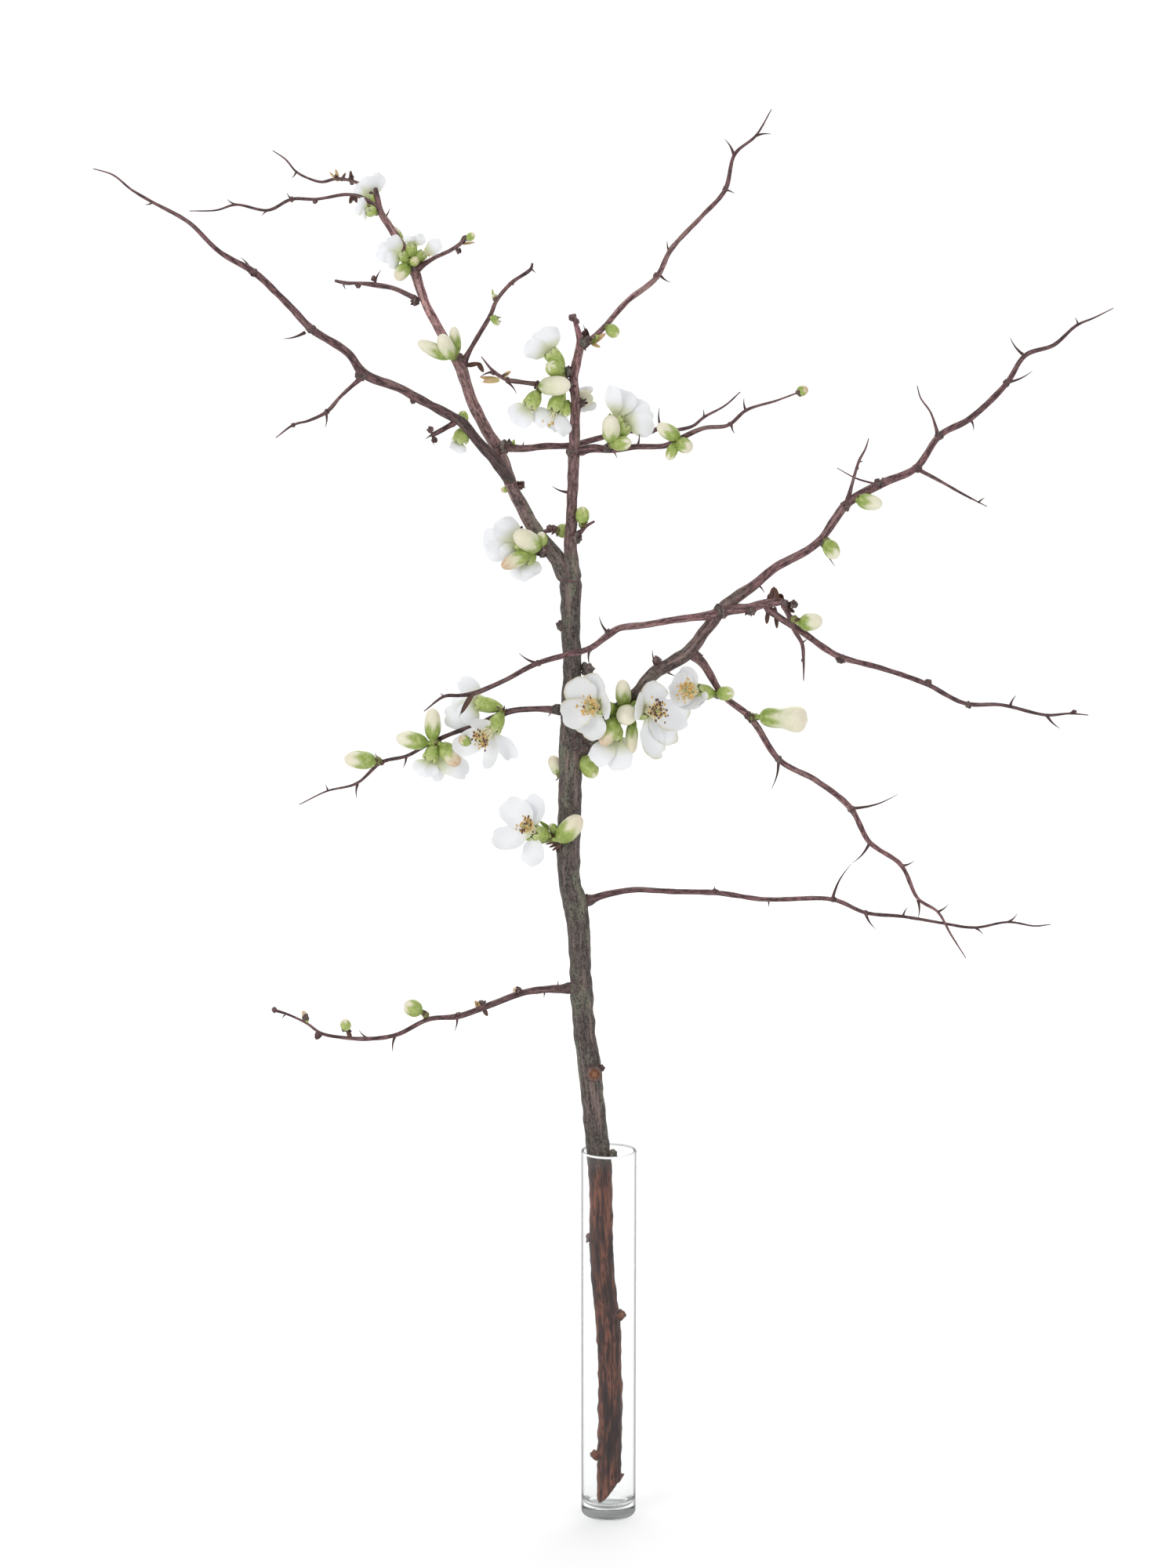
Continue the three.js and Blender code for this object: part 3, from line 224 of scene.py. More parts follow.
def leaflet(root, tip, width, normal, thick=0.3, cup=0.25, rows=8, columns=6, point=1.0):
    """A small pointed blade from root to tip, cupped towards its normal, and each point's place."""
    along = tip - root
    across = unit(np.cross(along, normal))
    inner = unit(np.cross(across, along))
    u, v = np.linspace(0, 1, rows + 1), np.linspace(-1, 1, columns + 1)
    swell = np.sin(np.pi * (LEAFLET.start + (1 - LEAFLET.start) * u ** (0.75 * point)))
    half = width / 2 * np.sqrt(np.clip(swell, 0, 1))
    half[-1] = LEAFLET.tip
    middle = (root + u[:, None, None] * along + (half[:, None] * v)[..., None] * across
              + (cup * width * (v ** 2 - 1)[None, :] * np.sin(np.pi * u)[:, None] ** 0.6)[..., None]
              * inner)
    edge = (1 - v ** 4)[None, :] * np.clip(np.sin(np.pi * np.clip(u, *LEAFLET.wall)), 0, 1)[:, None]
    wall = (thick / 2 * edge)[..., None] * inner
    points = np.concatenate([(middle + wall).reshape(-1, 3), (middle - wall).reshape(-1, 3)])
    grid = np.arange(edge.size).reshape(edge.shape)
    quads = np.stack([grid[:-1, :-1], grid[:-1, 1:], grid[1:, 1:], grid[1:, :-1]], -1).reshape(-1, 4)
    return points, two_sided(quads, edge.size), np.tile(np.repeat(u, columns + 1), 2)


# ---------------------------------------------------------------- the wood's routes

Limb = namedtuple("Limb", "name on depths route thorns knobs pale", defaults=[(), (), (0, 0)])

# route: (x, y, diameter in mm). depths are spread evenly along the route, after the depth of the
# limb it grows from. thorns: (x, y of the root, x, y of the tip, lean in depth, mm).
# knobs: (x, y, radius in mm, depth from the limb's middle, mm).
# pale: how much lighter its bark is coloured than usual, from its root to its tip; below zero, darker.
LIMBS = [
    Limb("trunk", None, (-5, -4, -3, 0, 3, 3), [
        (777, 1925, 15.4), (777, 1865, 15.4), (778, 1823, 15.4), (778.5, 1783, 15.8), (777.5, 1741, 15),
        (776.5, 1700, 15.8), (773, 1662, 15.2), (768.5, 1620, 15), (766.8, 1570, 15.2), (767, 1535, 14.4),
        (765, 1485, 15.4), (761, 1450, 14.8), (756, 1400, 15), (752, 1360, 15), (746, 1319, 14),
        (742.5, 1278, 14.6), (740, 1230, 14), (737.5, 1180, 14.6), (733.5, 1152, 16), (727.6, 1130, 14.2),
        (725, 1100, 14.8), (726, 1051, 15), (727.5, 1000, 14.6), (728, 962, 15.4), (728, 925, 13.4),
        (729, 890, 12.8), (730, 855, 11.8), (728, 800, 12), (728, 762, 12.8), (728, 746, 14.6),
        (727, 738, 12)],
        knobs=[(790, 1886, 4.2, -1), (760, 1855, 3, -3), (789, 1676, 3.6, -3), (754, 1579, 3, -1),
            (781, 1472, 3.2, -3), (758, 1368, 4.6, -5), (767, 1362, 2.2, -4), (716, 798, 3, -1),
            (749, 854, 4.2, 0), (711, 905, 3.4, -2), (741, 949, 6, -3), (714, 1071, 4, -3),
            (741, 1150, 5, 2), (735, 1258, 4.6, -3)]),
    Limb("leader_left", "trunk", (6, 14, 22, 28), [
        (727, 745, 13), (711, 713, 10), (685, 680, 9.4), (667, 648, 8.4), (650, 613, 7.8),
        (637, 575, 7.6), (618, 544, 7.4), (600, 506, 7), (587, 468, 7.6), (564, 426, 5.8),
        (543, 387, 5.4), (528, 345, 6.6), (512, 313, 4.8), (495, 286, 4.6), (486, 271, 4.4),
        (479, 240, 2.8)],
        thorns=[(666, 672, 657, 675, -3), (490, 278, 497, 266, 2), (620, 548, 613, 552, 3)],
        knobs=[(664, 619, 2.4, 2), (638, 571, 4.6, 0), (529, 342, 3.8, 0), (585, 460, 4, 0),
            (692, 701, 4.6, -2)],
        pale=(0.3, 0.35, 0.9, 1.4, 1, 1.4, 1, 0)),
    Limb("arch_left", "leader_left", (-16, -32, -54, -78, -104), [
        (654, 618, 7.6), (631, 587, 7), (609, 562, 6.4), (591, 540, 6.4), (550, 517, 5.6),
        (509, 495, 5.4), (464, 476, 6), (444, 450, 4.8), (399, 421, 5), (370, 391, 4.2), (325, 348, 4.2),
        (280, 321, 3), (240, 283, 2.6), (195, 258, 2), (168, 242, 1.5), (144, 223, 1.1), (119, 215, 0.6)],
        thorns=[(389, 424, 361, 432, -3), (321, 346, 307, 328, -2), (446, 452, 443, 444, -1),
            (505, 494, 502, 486, -1), (195, 258, 185, 261, 1)],
        knobs=[(527, 511, 2, 0), (397, 420, 2.8, 0), (323, 347, 2.4, 0), (461, 478, 3.6, 0)],
        pale=(-0.42, -0.42, 0, 0.2, 0, 0.2, 0.1, 0)),
    Limb("arch_sub", "arch_left", (-36, -52, -72), [
        (464, 479, 3), (435, 505, 2.2), (417, 525, 2.6), (395, 536, 1.8), (374, 542, 1.6),
        (352, 558, 0.6)],
        thorns=[(416, 526, 415, 545, 2)],
        knobs=[(417, 525, 1.6, 0), (374, 542, 1.3, 0)]),
    Limb("arch_twig", "arch_left", (-28,), [
        (582, 538, 3.4), (566, 547, 3), (551, 555, 3)],
        thorns=[(551, 555, 553, 568, -2), (551, 555, 543, 560, 1)],
        knobs=[(549, 548, 1.9, 0), (554, 561, 1.9, 1)]),
    Limb("twig_top_right", "leader_left", (12, -2, -20), [
        (530, 344, 4.1), (552, 330, 2.6), (575, 319, 2.7), (590, 308, 2.5), (594, 301, 1.8)],
        thorns=[(590, 308, 601, 305, -2)],
        knobs=[(585, 320, 1.8, -1), (597, 305, 1.4, 0)]),
    Limb("twig_top_left", "leader_left", (30, 44, 60), [
        (533, 382, 3.3), (503, 368, 2.9), (476, 363, 3.7), (457, 361, 2), (442, 361, 2.7),
        (428, 358, 1.8)],
        thorns=[(478, 362, 486, 344, 2), (438, 361, 441, 369, 1)],
        knobs=[(530, 384, 2.6, 0), (477, 355, 1.8, 1), (457, 364, 1.7, 0)]),
    Limb("twig_a", "leader_left", (18, 0, -22, -46), [
        (485, 268, 3.6), (462, 252, 2.6), (444, 248, 2.4), (403, 254, 2), (372, 254, 2.2),
        (342, 268, 1.9), (301, 261, 1.7), (276, 268, 1.2), (242, 269, 0.6)],
        thorns=[(372, 254, 366, 246, -1), (342, 268, 334, 275, 1), (301, 261, 290, 254, -1),
            (449, 250, 453, 257, -1)],
        knobs=[(402, 257, 1.5, 0), (372, 254, 1.5, 0)]),
    Limb("twig_b", "leader_left", (38, 60, 84), [
        (483, 262, 3), (468, 240, 2.2), (450, 231, 2.2), (429, 228, 2.2), (411, 232, 1.8),
        (395, 228, 1.5), (378, 219, 1.5), (364, 203, 1.2), (348, 192, 0.6)],
        thorns=[(378, 219, 372, 227, 1), (448, 232, 448, 218, 0)],
        knobs=[(448, 227, 1.7, 0), (429, 226, 1.6, 0)]),
    Limb("twig_mid_right", "leader_left", (6, -8, -24), [
        (590, 464, 3.7), (606, 435, 2.9), (625, 403, 3), (633, 384, 2.6), (652, 361, 2.4),
        (677, 343, 2.2), (679, 336, 1.3)],
        thorns=[(677, 343, 683, 348, 1), (634, 408, 640, 410, -1)],
        knobs=[(632, 407, 1.9, 0), (632, 381, 1.8, 0), (653, 361, 1.4, 0), (593, 464, 2.4, 0)]),
    Limb("mid_branch", "leader_left", (16, 28, 46, 70), [
        (640, 568, 5.9), (662, 572, 4.7), (695, 569, 4.4), (727, 568, 4.1), (763, 559, 3.7),
        (797, 550, 3.2), (830, 551, 2.8), (841, 546, 3), (864, 548, 2.5), (884, 543, 2.2),
        (898, 532, 1.8), (925, 517, 1.3), (944, 500, 0.7)],
        thorns=[(843, 546, 841, 520, -2), (897, 534, 897, 522, 1), (655, 570, 649, 559, -2),
            (665, 571, 668, 563, -1)],
        knobs=[(842, 546, 1.8, 0), (649, 568, 2.6, -1)]),
    Limb("leader_right", "trunk", (-1, -8, -12, -14), [
        (730, 748, 12), (728, 697, 7.8), (730, 636, 7), (732, 576, 7.2), (734, 513, 6), (732, 479, 6),
        (740, 440, 5.4), (738, 425, 4), (734, 412, 2.8), (732, 404, 2.2)],
        thorns=[(725, 628, 704, 620, -2)],
        knobs=[(729, 405, 2, -1), (735, 410, 1.9, 1), (742, 514, 2.6, 1), (726, 490, 3.6, -1),
            (724, 474, 3.4, -1), (743, 437, 3.6, 0), (735, 685, 3.6, -2), (731, 577, 4.2, 0)],
        pale=(0.2, 0.35, 0.5, 0.4, 0.6, 0.85, 0.6)),
    Limb("twig_bloom_left", "leader_right", (-16, -24, -36), [
        (729, 489, 4.5), (706, 491, 3.7), (686, 490, 3.3), (663, 487, 2.8), (646, 484, 2.9),
        (629, 473, 2.1), (614, 455, 0.6)],
        thorns=[(646, 486, 659, 502, 1), (629, 474, 612, 481, 2), (640, 480, 650, 476, -2)],
        knobs=[(686, 491, 2.4, 0), (647, 484, 1.5, 0), (629, 475, 1.5, 0)]),
    Limb("ne_branch", "leader_right", (8, 34, 66, 102), [
        (742, 443, 4.3), (768, 420, 3.5), (799, 385, 3.6), (837, 354, 3.6), (856, 318, 3.2),
        (895, 276, 2.9), (925, 242, 3), (937, 197, 2.3), (964, 173, 1.7), (984, 139.5, 0.6)],
        thorns=[(854, 322, 851, 307, 1), (843, 352, 855, 360, -2), (925, 242, 937, 247, 1),
            (936, 197, 924, 177, -1), (964, 173, 984, 171, 1), (746, 436, 744, 414, -2),
            (752, 432, 762, 441, 1)],
        knobs=[(748, 433, 2.6, -1), (837, 352, 2, 0), (925, 241, 1.8, 0), (745, 425, 1.6, 0)],
        pale=(0.3, 0.7, 0.25, 0.2, 0, 0)),
    Limb("twig_right", "leader_right", (-18, -30, -44, -62), [
        (736, 577, 6.3), (753, 572, 5.2), (777, 573, 4.7), (808, 570, 3.7), (850, 568, 3.5),
        (868, 559, 3.5), (898, 546, 2.9), (929, 542, 2.3), (952, 523, 2), (990, 511, 1.4),
        (1017, 501, 1.1)],
        thorns=[(951, 523, 949, 508, -1), (933, 542, 937, 553, 1), (780, 573, 787, 584, -2),
            (813, 569, 815, 552, 1)],
        knobs=[(777, 571, 3, -1), (868, 562, 2.6, -1), (1020, 500, 2.3, 0), (931, 541, 1.4, 0)]),
    Limb("spur_between", "leader_left", (8,), [
        (694, 678, 3), (702, 676, 2.4), (709, 676, 2.6)],
        knobs=[(701, 673, 1.9, -1), (706, 673, 1.8, -1)]),
    Limb("spur_right", "leader_right", (-8,), [
        (731, 686, 4), (741, 678, 2.8), (748, 671, 2.2), (758, 665, 1.4)],
        thorns=[(742, 676, 737, 686, -2)],
        knobs=[(743, 671, 1.8, -1)]),
    Limb("branch_right", "trunk", (-6, -10, 2, 30, 64), [
        (729, 962, 13.5), (745, 947, 12.4), (765, 930, 10), (788, 905, 8), (811, 885, 7.8),
        (834, 859, 8.4), (875, 834, 8.9), (899, 805, 7.4), (924, 774, 7.9), (966, 743, 6.2),
        (987, 725, 5.5), (1042, 693, 5), (1080, 643, 5.8), (1122, 618, 5.5), (1168, 597, 4.6),
        (1199, 555, 4.1), (1237, 534, 4.1), (1283, 490, 3.6), (1308, 453, 3), (1344, 440, 2.7),
        (1373, 415, 1.9), (1396, 405, 1.1), (1420, 393, 0.6)],
        thorns=[(1306, 453, 1288, 430, -2), (1283, 488, 1317, 473, 2), (1239, 536, 1242, 549, -1),
            (1050, 690, 1065, 722, -3), (838, 850, 832, 829, -2), (850, 856, 862, 862, -3),
            (966, 745, 975, 756, -2), (1375, 414, 1371, 405, 0)],
        knobs=[(838, 842, 2.6, -1), (812, 886, 3.8, -1), (797, 899, 4, -2), (920, 779, 4.6, -1),
            (1078, 645, 3.2, 0), (1121, 617, 3, 0), (1170, 597, 2.8, 0), (1198, 555, 2.5, 0),
            (1050, 692, 3, -1), (1284, 489, 2.2, 0)],
        pale=(0, 0.1, 0.25, 0.35, 0.3, 0.3, 0.1, 0, 0)),
    Limb("spine_up", "branch_right", (4,), [
        (1080, 643, 2.9), (1092, 599, 1.7), (1096, 587, 2), (1104, 572, 1.3), (1108, 559, 0.5)],
        thorns=[(1095, 590, 1101, 588, 1)],
        knobs=[(1093, 597, 1.2, 0)]),
    Limb("spine_left", "branch_right", (0,), [
        (1124, 619, 1.8), (1092, 610, 1.1), (1068, 597, 0.5)]),
    Limb("spine_low", "branch_right", (-4,), [
        (1168, 597, 2.8), (1200, 614, 2), (1230, 631, 1.6), (1259, 646, 0.5)],
        thorns=[(1248, 641, 1256, 635, 0)]),
    Limb("spine_top", "branch_right", (22,), [
        (1197, 556, 2.2), (1187, 526, 1.3), (1174, 507, 1), (1170, 492, 0.5)]),
    Limb("stub", "branch_right", (-16, -20), [
        (920, 781, 6.4), (936, 777, 6), (956, 775, 5.8), (972, 771, 5.8), (988, 768, 5.6), (999, 767, 4)],
        thorns=[(986, 764, 988, 748, -1), (979, 778, 978, 793, -3), (988, 775, 992, 798, -2)],
        knobs=[(1002, 770, 2.3, -1), (1013, 771, 2.4, -2), (958, 779, 3, -1)],
        pale=(0, 0.6, 0.3)),
    Limb("branch_right_lower", "stub", (-26, -46, -70, -94), [
        (976, 774, 5), (995, 788, 4.3), (1026, 808, 4.2), (1051, 826, 4), (1070, 837, 4),
        (1127, 853, 3.3), (1181, 872, 3.1), (1231, 897, 2.8), (1277, 899, 2.2), (1335, 912, 1.9),
        (1364, 910, 1.3), (1388, 912, 0.6)],
        thorns=[(1289, 899, 1296, 887, -1), (1335, 912, 1352, 929, -2), (1365, 910, 1374, 906, 0)],
        knobs=[(1072, 841, 2.4, 0), (1235, 899, 2.2, 0), (1184, 870, 2, 0), (1370, 908, 1.3, 0)],
        pale=(0.1, 0.25, 0.1, -0.2, -0.1, -0.5, -0.3)),
    Limb("twig_hang", "stub", (-30, -36), [
        (998, 770, 4.5), (1006, 784, 3.4), (1013, 803, 2.8), (1023, 821, 2.6), (1025, 842, 1.7),
        (1025, 868, 0.6)],
        thorns=[(1023, 821, 1030, 815, -1)],
        knobs=[(1009, 789, 2.1, -1), (1024, 842, 1.1, 0)]),
    Limb("cross_left", "branch_right", (-22, -34, -44, -62, -86), [
        (922, 779, 5.4), (902, 785, 5.4), (880, 788, 4.7), (850, 792, 4.4), (822, 797, 4.2),
        (790, 801, 4.4), (777, 809, 4.2), (752, 827, 3.8), (723, 835, 3.6), (685, 846, 3.3),
        (643, 868, 2.9), (605, 884, 3.2), (586, 887, 2.3), (567, 888, 2), (541, 907, 0.6)],
        thorns=[(776, 808, 764, 786, -3), (752, 828, 752, 849, 1), (685, 846, 662, 833, -2),
            (603, 884, 586, 914, -4), (567, 888, 562, 884, 0)],
        knobs=[(777, 807, 2.3, 0), (686, 846, 1.9, 0), (751, 828, 2, 0)],
        pale=(0.4, 0.6, 0.3, 0.3, 0, -0.1, -0.35, -0.5)),
    Limb("branch_drop", "branch_right", (6, 30, 56, 88), [
        (880, 832, 6.4), (898, 848, 5.3), (916, 878, 4.3), (928, 892, 4.1), (957, 915, 4.3),
        (994, 969, 3.8), (1042, 996, 3.7), (1085, 1031, 4), (1109, 1074, 3.3), (1149, 1103, 3),
        (1171, 1146, 2.4), (1196, 1163, 2), (1213, 1192, 1.5), (1232, 1222, 0.6)],
        thorns=[(993, 970, 984, 1006, -2), (1087, 1031, 1145, 1013, 2), (1109, 1076, 1087, 1101, -2),
            (1152, 1104, 1166, 1098, 1), (1171, 1148, 1171, 1172, -1), (1196, 1163, 1210, 1153, 1)],
        knobs=[(956, 914, 2.6, -1), (915, 886, 2.6, -1), (993, 968, 2.3, 0), (1086, 1032, 2.3, 0),
            (890, 838, 2.8, 0)],
        pale=(0.15, 0.35, 0.3, 0.4, 0.5, 0.2)),
    Limb("branch_low_right", "trunk", (12, 40, 74, 108), [
        (739, 1154, 6), (765, 1143, 4.4), (808, 1135, 3.7), (856, 1137, 3.5), (913, 1138.5, 3.5),
        (975, 1147, 3.1), (1061, 1147, 3), (1104, 1164, 2.6), (1152, 1169, 2.3), (1200, 1177, 2),
        (1243, 1183, 1.9), (1286, 1176, 1.6), (1320, 1181, 1.2), (1340, 1179, 0.6)],
        thorns=[(1062, 1146, 1086, 1102, -3), (1104, 1165, 1117, 1185, 1), (1152, 1168, 1158, 1157, -1),
            (1286, 1176, 1298, 1165, 1), (1245, 1184, 1254, 1192, 0), (911, 1138, 911, 1130, -1),
            (980, 1148, 980, 1157, 1)],
        knobs=[(750, 1147, 3.2, 1), (1063, 1147, 2, 0), (912, 1137, 2, 0), (1104, 1164, 1.7, 0)],
        pale=(-0.4, 0, 0, 0.1, 0.3, -0.3, -0.2, -0.4, -0.2)),
    Limb("branch_mid_left", "trunk", (0, 4, 18, 38, 62), [
        (722, 908, 5.4), (704, 905, 4.3), (682, 904, 3.5), (656, 906, 3.7), (640, 911, 4.3),
        (606, 925, 3), (573, 937, 3), (545, 950, 2.6), (519, 964, 2.2), (487, 972, 2.4), (455, 999, 1.8),
        (417, 1009, 1.2), (382, 1026, 0.6)],
        thorns=[(487, 972, 478, 960, -1), (456, 1000, 455, 1018, -1), (518, 966, 514, 979, 1),
            (418, 1009, 415, 1001, 0), (704, 905, 699, 914, -2), (642, 908, 643, 899, -1)],
        knobs=[(641, 909, 2.6, 0), (593, 938, 3, -3), (557, 945, 2.6, 0), (487, 972, 1.7, 0)],
        pale=(0, -0.3, -0.4, -0.4, -0.1, -0.3, -0.3)),
    Limb("branch_low_left", "trunk", (-16, -36, -58, -84), [
        (738, 1259, 6.7), (719, 1261, 5.5), (695, 1262, 4.6), (668, 1266, 4.3), (627, 1281, 4.2),
        (585, 1296, 3.8), (547, 1300, 3), (505, 1320, 2.8), (467, 1325, 2.8), (435, 1323, 2.3),
        (410, 1318, 2.1), (391, 1305, 1.6), (365, 1293, 1.6), (352, 1289, 2.1)],
        thorns=[(583, 1296, 580, 1315, -2), (504, 1321, 501, 1342, 1), (470, 1325, 458, 1314, -1),
            (696, 1263, 694, 1273, -1), (713, 1261, 712, 1250, 2), (365, 1293, 360, 1299, 0)],
        knobs=[(662, 1264, 2.4, -1), (405, 1319, 1.6, 0), (350, 1288, 1.7, 0), (545, 1299, 2, 0),
            (585, 1295, 2, 0), (614, 1281, 2.6, 2), (441, 1311, 2.6, -2), (390, 1298, 2.2, -1)],
        pale=(-0.25, -0.2, 0, 0, 0)),
]

# Old pruning cuts on the trunk: x, y, depth from its middle, radius in mm, and the way they face.
SCARS = [
    (757, 1368, -5.2, 5.2, (0.12, -1.0, 0.05)), (790, 1886, -3, 3.9, (0.8, -0.9, 0.3)),
    (788, 1676, -4, 3.4, (0.7, -0.9, 0.1)), (732, 405, 0, 2.0, (-0.3, -0.2, 1.0)),
]
# Rings of a cut's collar: how far out, how wide and how brown they are, in parts of its radius.
SCAR = Sizes(reach=(0, 0.75, 1.0, 1.08, 1.04), wide=(0.9, 0.98, 0.92, 0.8, 0.66),
             brown=(0, 0, 0, 0.4, 1.0), sides=24, sunk=-0.35, girth=5.0)

# Two points of the slanted cut through the foot, on the sheet, and half the cutter's length in mm.
FOOT_CUT = Sizes(low=(762, 1920), high=(800, 1871), depth=-5, size=60)
LIMB_STEP = 1.5             # between two rings of a limb, mm
LIMB_SIDES = [(13.7, 48), (6.2, 22), (3.7, 14), (0, 10)]    # (thicker than this, sides)
THORN = Sizes(slender=1.3, base=2.4, tip=0.12, full_length=12, rings=7, sides=7, bow=0.07,
              taper=0.8, girth=0.55)
ROOT = Sizes(flare=0.32,    # swelling of a limb where it leaves its parent, at most
             slim=2.2,      # how soon it is reached as limbs get thinner than their parents
             fade=1.6,      # how many of its radii the swelling takes to fade
             start=0.6)     # width of its hidden first ring, as part of its own
WIDTH_BLUR = [0.1, 0.2, 0.4, 0.2, 0.1]      # evens out the width from ring to ring
NOISE_GAIN = 1.6            # brings Blender's noise to about -1 to 1
LUMP = Sizes(part=0.1, most=0.5, spread=13.0, waves=1.6)    # slow swellings of a limb, mm
RIDGE = Sizes(depth=0.14, in_vase=0.34, width=1.2, run=4.0,     # bark ridges, mm
              on=(2.5, 6))      # they come in between these radii of a limb
KNOB = Sizes(rings=12, sides=18, rough=0.5, grain=0.5, girth=1.6)
BARK_SHIFT = 40             # between the places of two limbs on the bark's pattern, mm
WET = Sizes(top=2, fade=14)     # the wood turns reddish this far below the vase's rim, mm
SCALES = Sizes(count=6, length=2.4, width=1.7, thick=0.25, least_knob=2.4, front=0.5, sunk=0.8,
               stray=0.5, vary=(0.6, 1.2))      # dry scales on a twig's knots, mm

VASE_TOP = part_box("vase")[1][2] / MM
route_of = {}               # for each limb, rows of x, y, depth, diameter


def depth_on(name, x, y):
    """The depth of a limb at the place on it nearest to a point of the sheet."""
    route = route_of[name]
    start, step = route[:-1, :2], np.diff(route[:, :2], axis=0)
    part = np.clip(((np.array([x, y]) - start) * step).sum(1) / (step ** 2).sum(1), 0, 1)
    distance = np.linalg.norm(np.array([x, y]) - start - part[:, None] * step, axis=1)
    near = int(np.argmin(distance))
    return mix(route[near, 2], route[near + 1, 2], part[near])


def on_limb(name, x, y, offset):
    """A point of the sheet at an offset from the depth of a limb."""
    return at(x, y, depth_on(name, x, y) + offset)


def lay_out(limb):
    route = np.array(limb.route, float)
    depths = list(limb.depths)
    if limb.on:
        depths.insert(0, depth_on(limb.on, *route[0, :2]))
    run = run_along(route[:, :2])
    depth = np.interp(run / run[-1] * (len(depths) - 1), range(len(depths)), depths)
    route_of[limb.name] = np.column_stack([route[:, :2], depth, route[:, 2]])


def curve_points(points, steps):
    """Points along a centripetal Catmull-Rom curve, steps[k] of them in span k, then the last."""
    padded = np.concatenate([[2 * points[0] - points[1]], points, [2 * points[-1] - points[-2]]])
    found = []
    for k, count in enumerate(steps):
        p0, p1, p2, p3 = padded[k:k + 4]
        d0, d1, d2 = (math.sqrt(np.linalg.norm(b - a)) for a, b in ((p0, p1), (p1, p2), (p2, p3)))
        t1 = ((p1 - p0) / d0 - (p2 - p0) / (d0 + d1) + (p2 - p1) / d1) * d1
        t2 = ((p2 - p1) / d1 - (p3 - p1) / (d1 + d2) + (p3 - p2) / d2) * d1
        t = (np.arange(count) / count)[:, None]
        found.append(p1 + t1 * t + (3 * (p2 - p1) - 2 * t1 - t2) * t ** 2
                     + (2 * (p1 - p2) + t1 + t2) * t ** 3)
    return np.concatenate(found + [points[-1:]])


def in_vase(heights):
    """1 for the wood inside the vase, 0 for the wood above it."""
    return 1 - smooth(VASE_TOP - WET.fade, VASE_TOP - WET.top, heights)


def bark_relief(run, radii, sides, number, sunk):
    """How far the bark stands out at each point of each ring, and its place on the bark, mm."""
    relief, places = np.zeros((len(run), sides)), np.zeros((len(run), sides, 3))
    lumps = NOISE_GAIN * np.minimum(LUMP.part * radii, LUMP.most)
    ridges = NOISE_GAIN * (mix(RIDGE.depth, RIDGE.in_vase, sunk) * smooth(*RIDGE.on, radii))
    grain = np.array([RIDGE.width, RIDGE.width, RIDGE.run])
    for k, (height, radius) in enumerate(zip(run, radii)):
        for side, angle in enumerate(turns(sides)):
            places[k, side] = (radius * math.cos(angle),
                               radius * math.sin(angle) + BARK_SHIFT * number, height)
            lump = noise.noise(Vector(places[k, side]) / LUMP.spread * LUMP.waves)
            ridge = noise.noise(Vector(places[k, side] / grain))
            relief[k, side] = lumps[k] * lump + ridges[k] * ridge
    return relief, places


def paleness(limb, part):
    return np.interp(part, np.linspace(0, 1, len(limb.pale)), limb.pale)


def add_wood(shape, points, faces, girth, places=None, **tones):
    """Adds points with the values that the bark's colours are worked out from."""
    places = points if places is None else places
    shape.add(points, faces, girth=girth, bark_x=places[:, 0], bark_y=places[:, 1],
              bark_z=places[:, 2], low_part=in_vase(points[:, 2]), **tones)
    return shape


def nearest_radius(name, point):
    route = route_of[name]
    points = np.array([at(*spot[:3]) for spot in route])
    return route[int(np.argmin(np.linalg.norm(points - point, axis=1)))][3] / 2


def limb_shape(limb, number):
    route = route_of[limb.name]
    points = np.array([at(*spot[:3]) for spot in route])
    steps = [max(2, round(span / LIMB_STEP)) for span in np.diff(run_along(points))]
    path = curve_points(points, steps)
    run = run_along(path)
    place = np.concatenate([k + np.arange(count) / count for k, count in enumerate(steps)]
                           + [[len(steps)]])
    radii = np.interp(place, range(len(route)), route[:, 3]) / 2
    radii = np.convolve(np.pad(radii, len(WIDTH_BLUR) // 2, mode="edge"), WIDTH_BLUR, "valid")
    if limb.on:
        inside = nearest_radius(limb.on, path[0])
        flare = ROOT.flare * np.clip(ROOT.slim * (1 - radii[0] / inside), 0, 1)
        radii *= 1 + flare * np.exp(-np.maximum(run - inside, 0) / (ROOT.fade * radii[0]))
        radii *= mix(ROOT.start, 1, smooth(0, inside, run))
    sides = next(sides for thicker, sides in LIMB_SIDES if route[:, 3].max() > thicker)

    def each(values):
        """Values of the rings, for each point and for the two end points."""
        return np.concatenate([np.repeat(values, sides), values[[0, -1]]])

    relief, places = bark_relief(run, radii, sides, number, in_vase(path[:, 2]))
    ends = [[0, BARK_SHIFT * number, 0], [0, BARK_SHIFT * number, run[-1]]]
    return add_wood(Shape(), *tube(path, radii, sides, relief), each(radii),
                    np.concatenate([places.reshape(-1, 3), ends]),
                    pale=each(paleness(limb, run / run[-1])))


def thorn_shape(limb, number, x0, y0, x1, y1, lean):
    depth = depth_on(limb.name, x0, y0)
    root, tip = at(x0, y0, depth), at(x1, y1, depth + lean)
    length = np.linalg.norm(tip - root)
    base = mix(THORN.slender, THORN.base, min(length / THORN.full_length, 1))
    part = np.linspace(0, 1, THORN.rings)
    bow = np.cross(unit(tip - root), Y_AXIS) * THORN.bow * length * (-1) ** number
    path = root + part[:, None] * (tip - root) + np.sin(np.pi * part)[:, None] * bow
    radii = mix(base / 2, THORN.tip, part ** THORN.taper)
    return add_wood(Shape(), *tube(path, radii, THORN.sides), THORN.girth, spine=1.0)


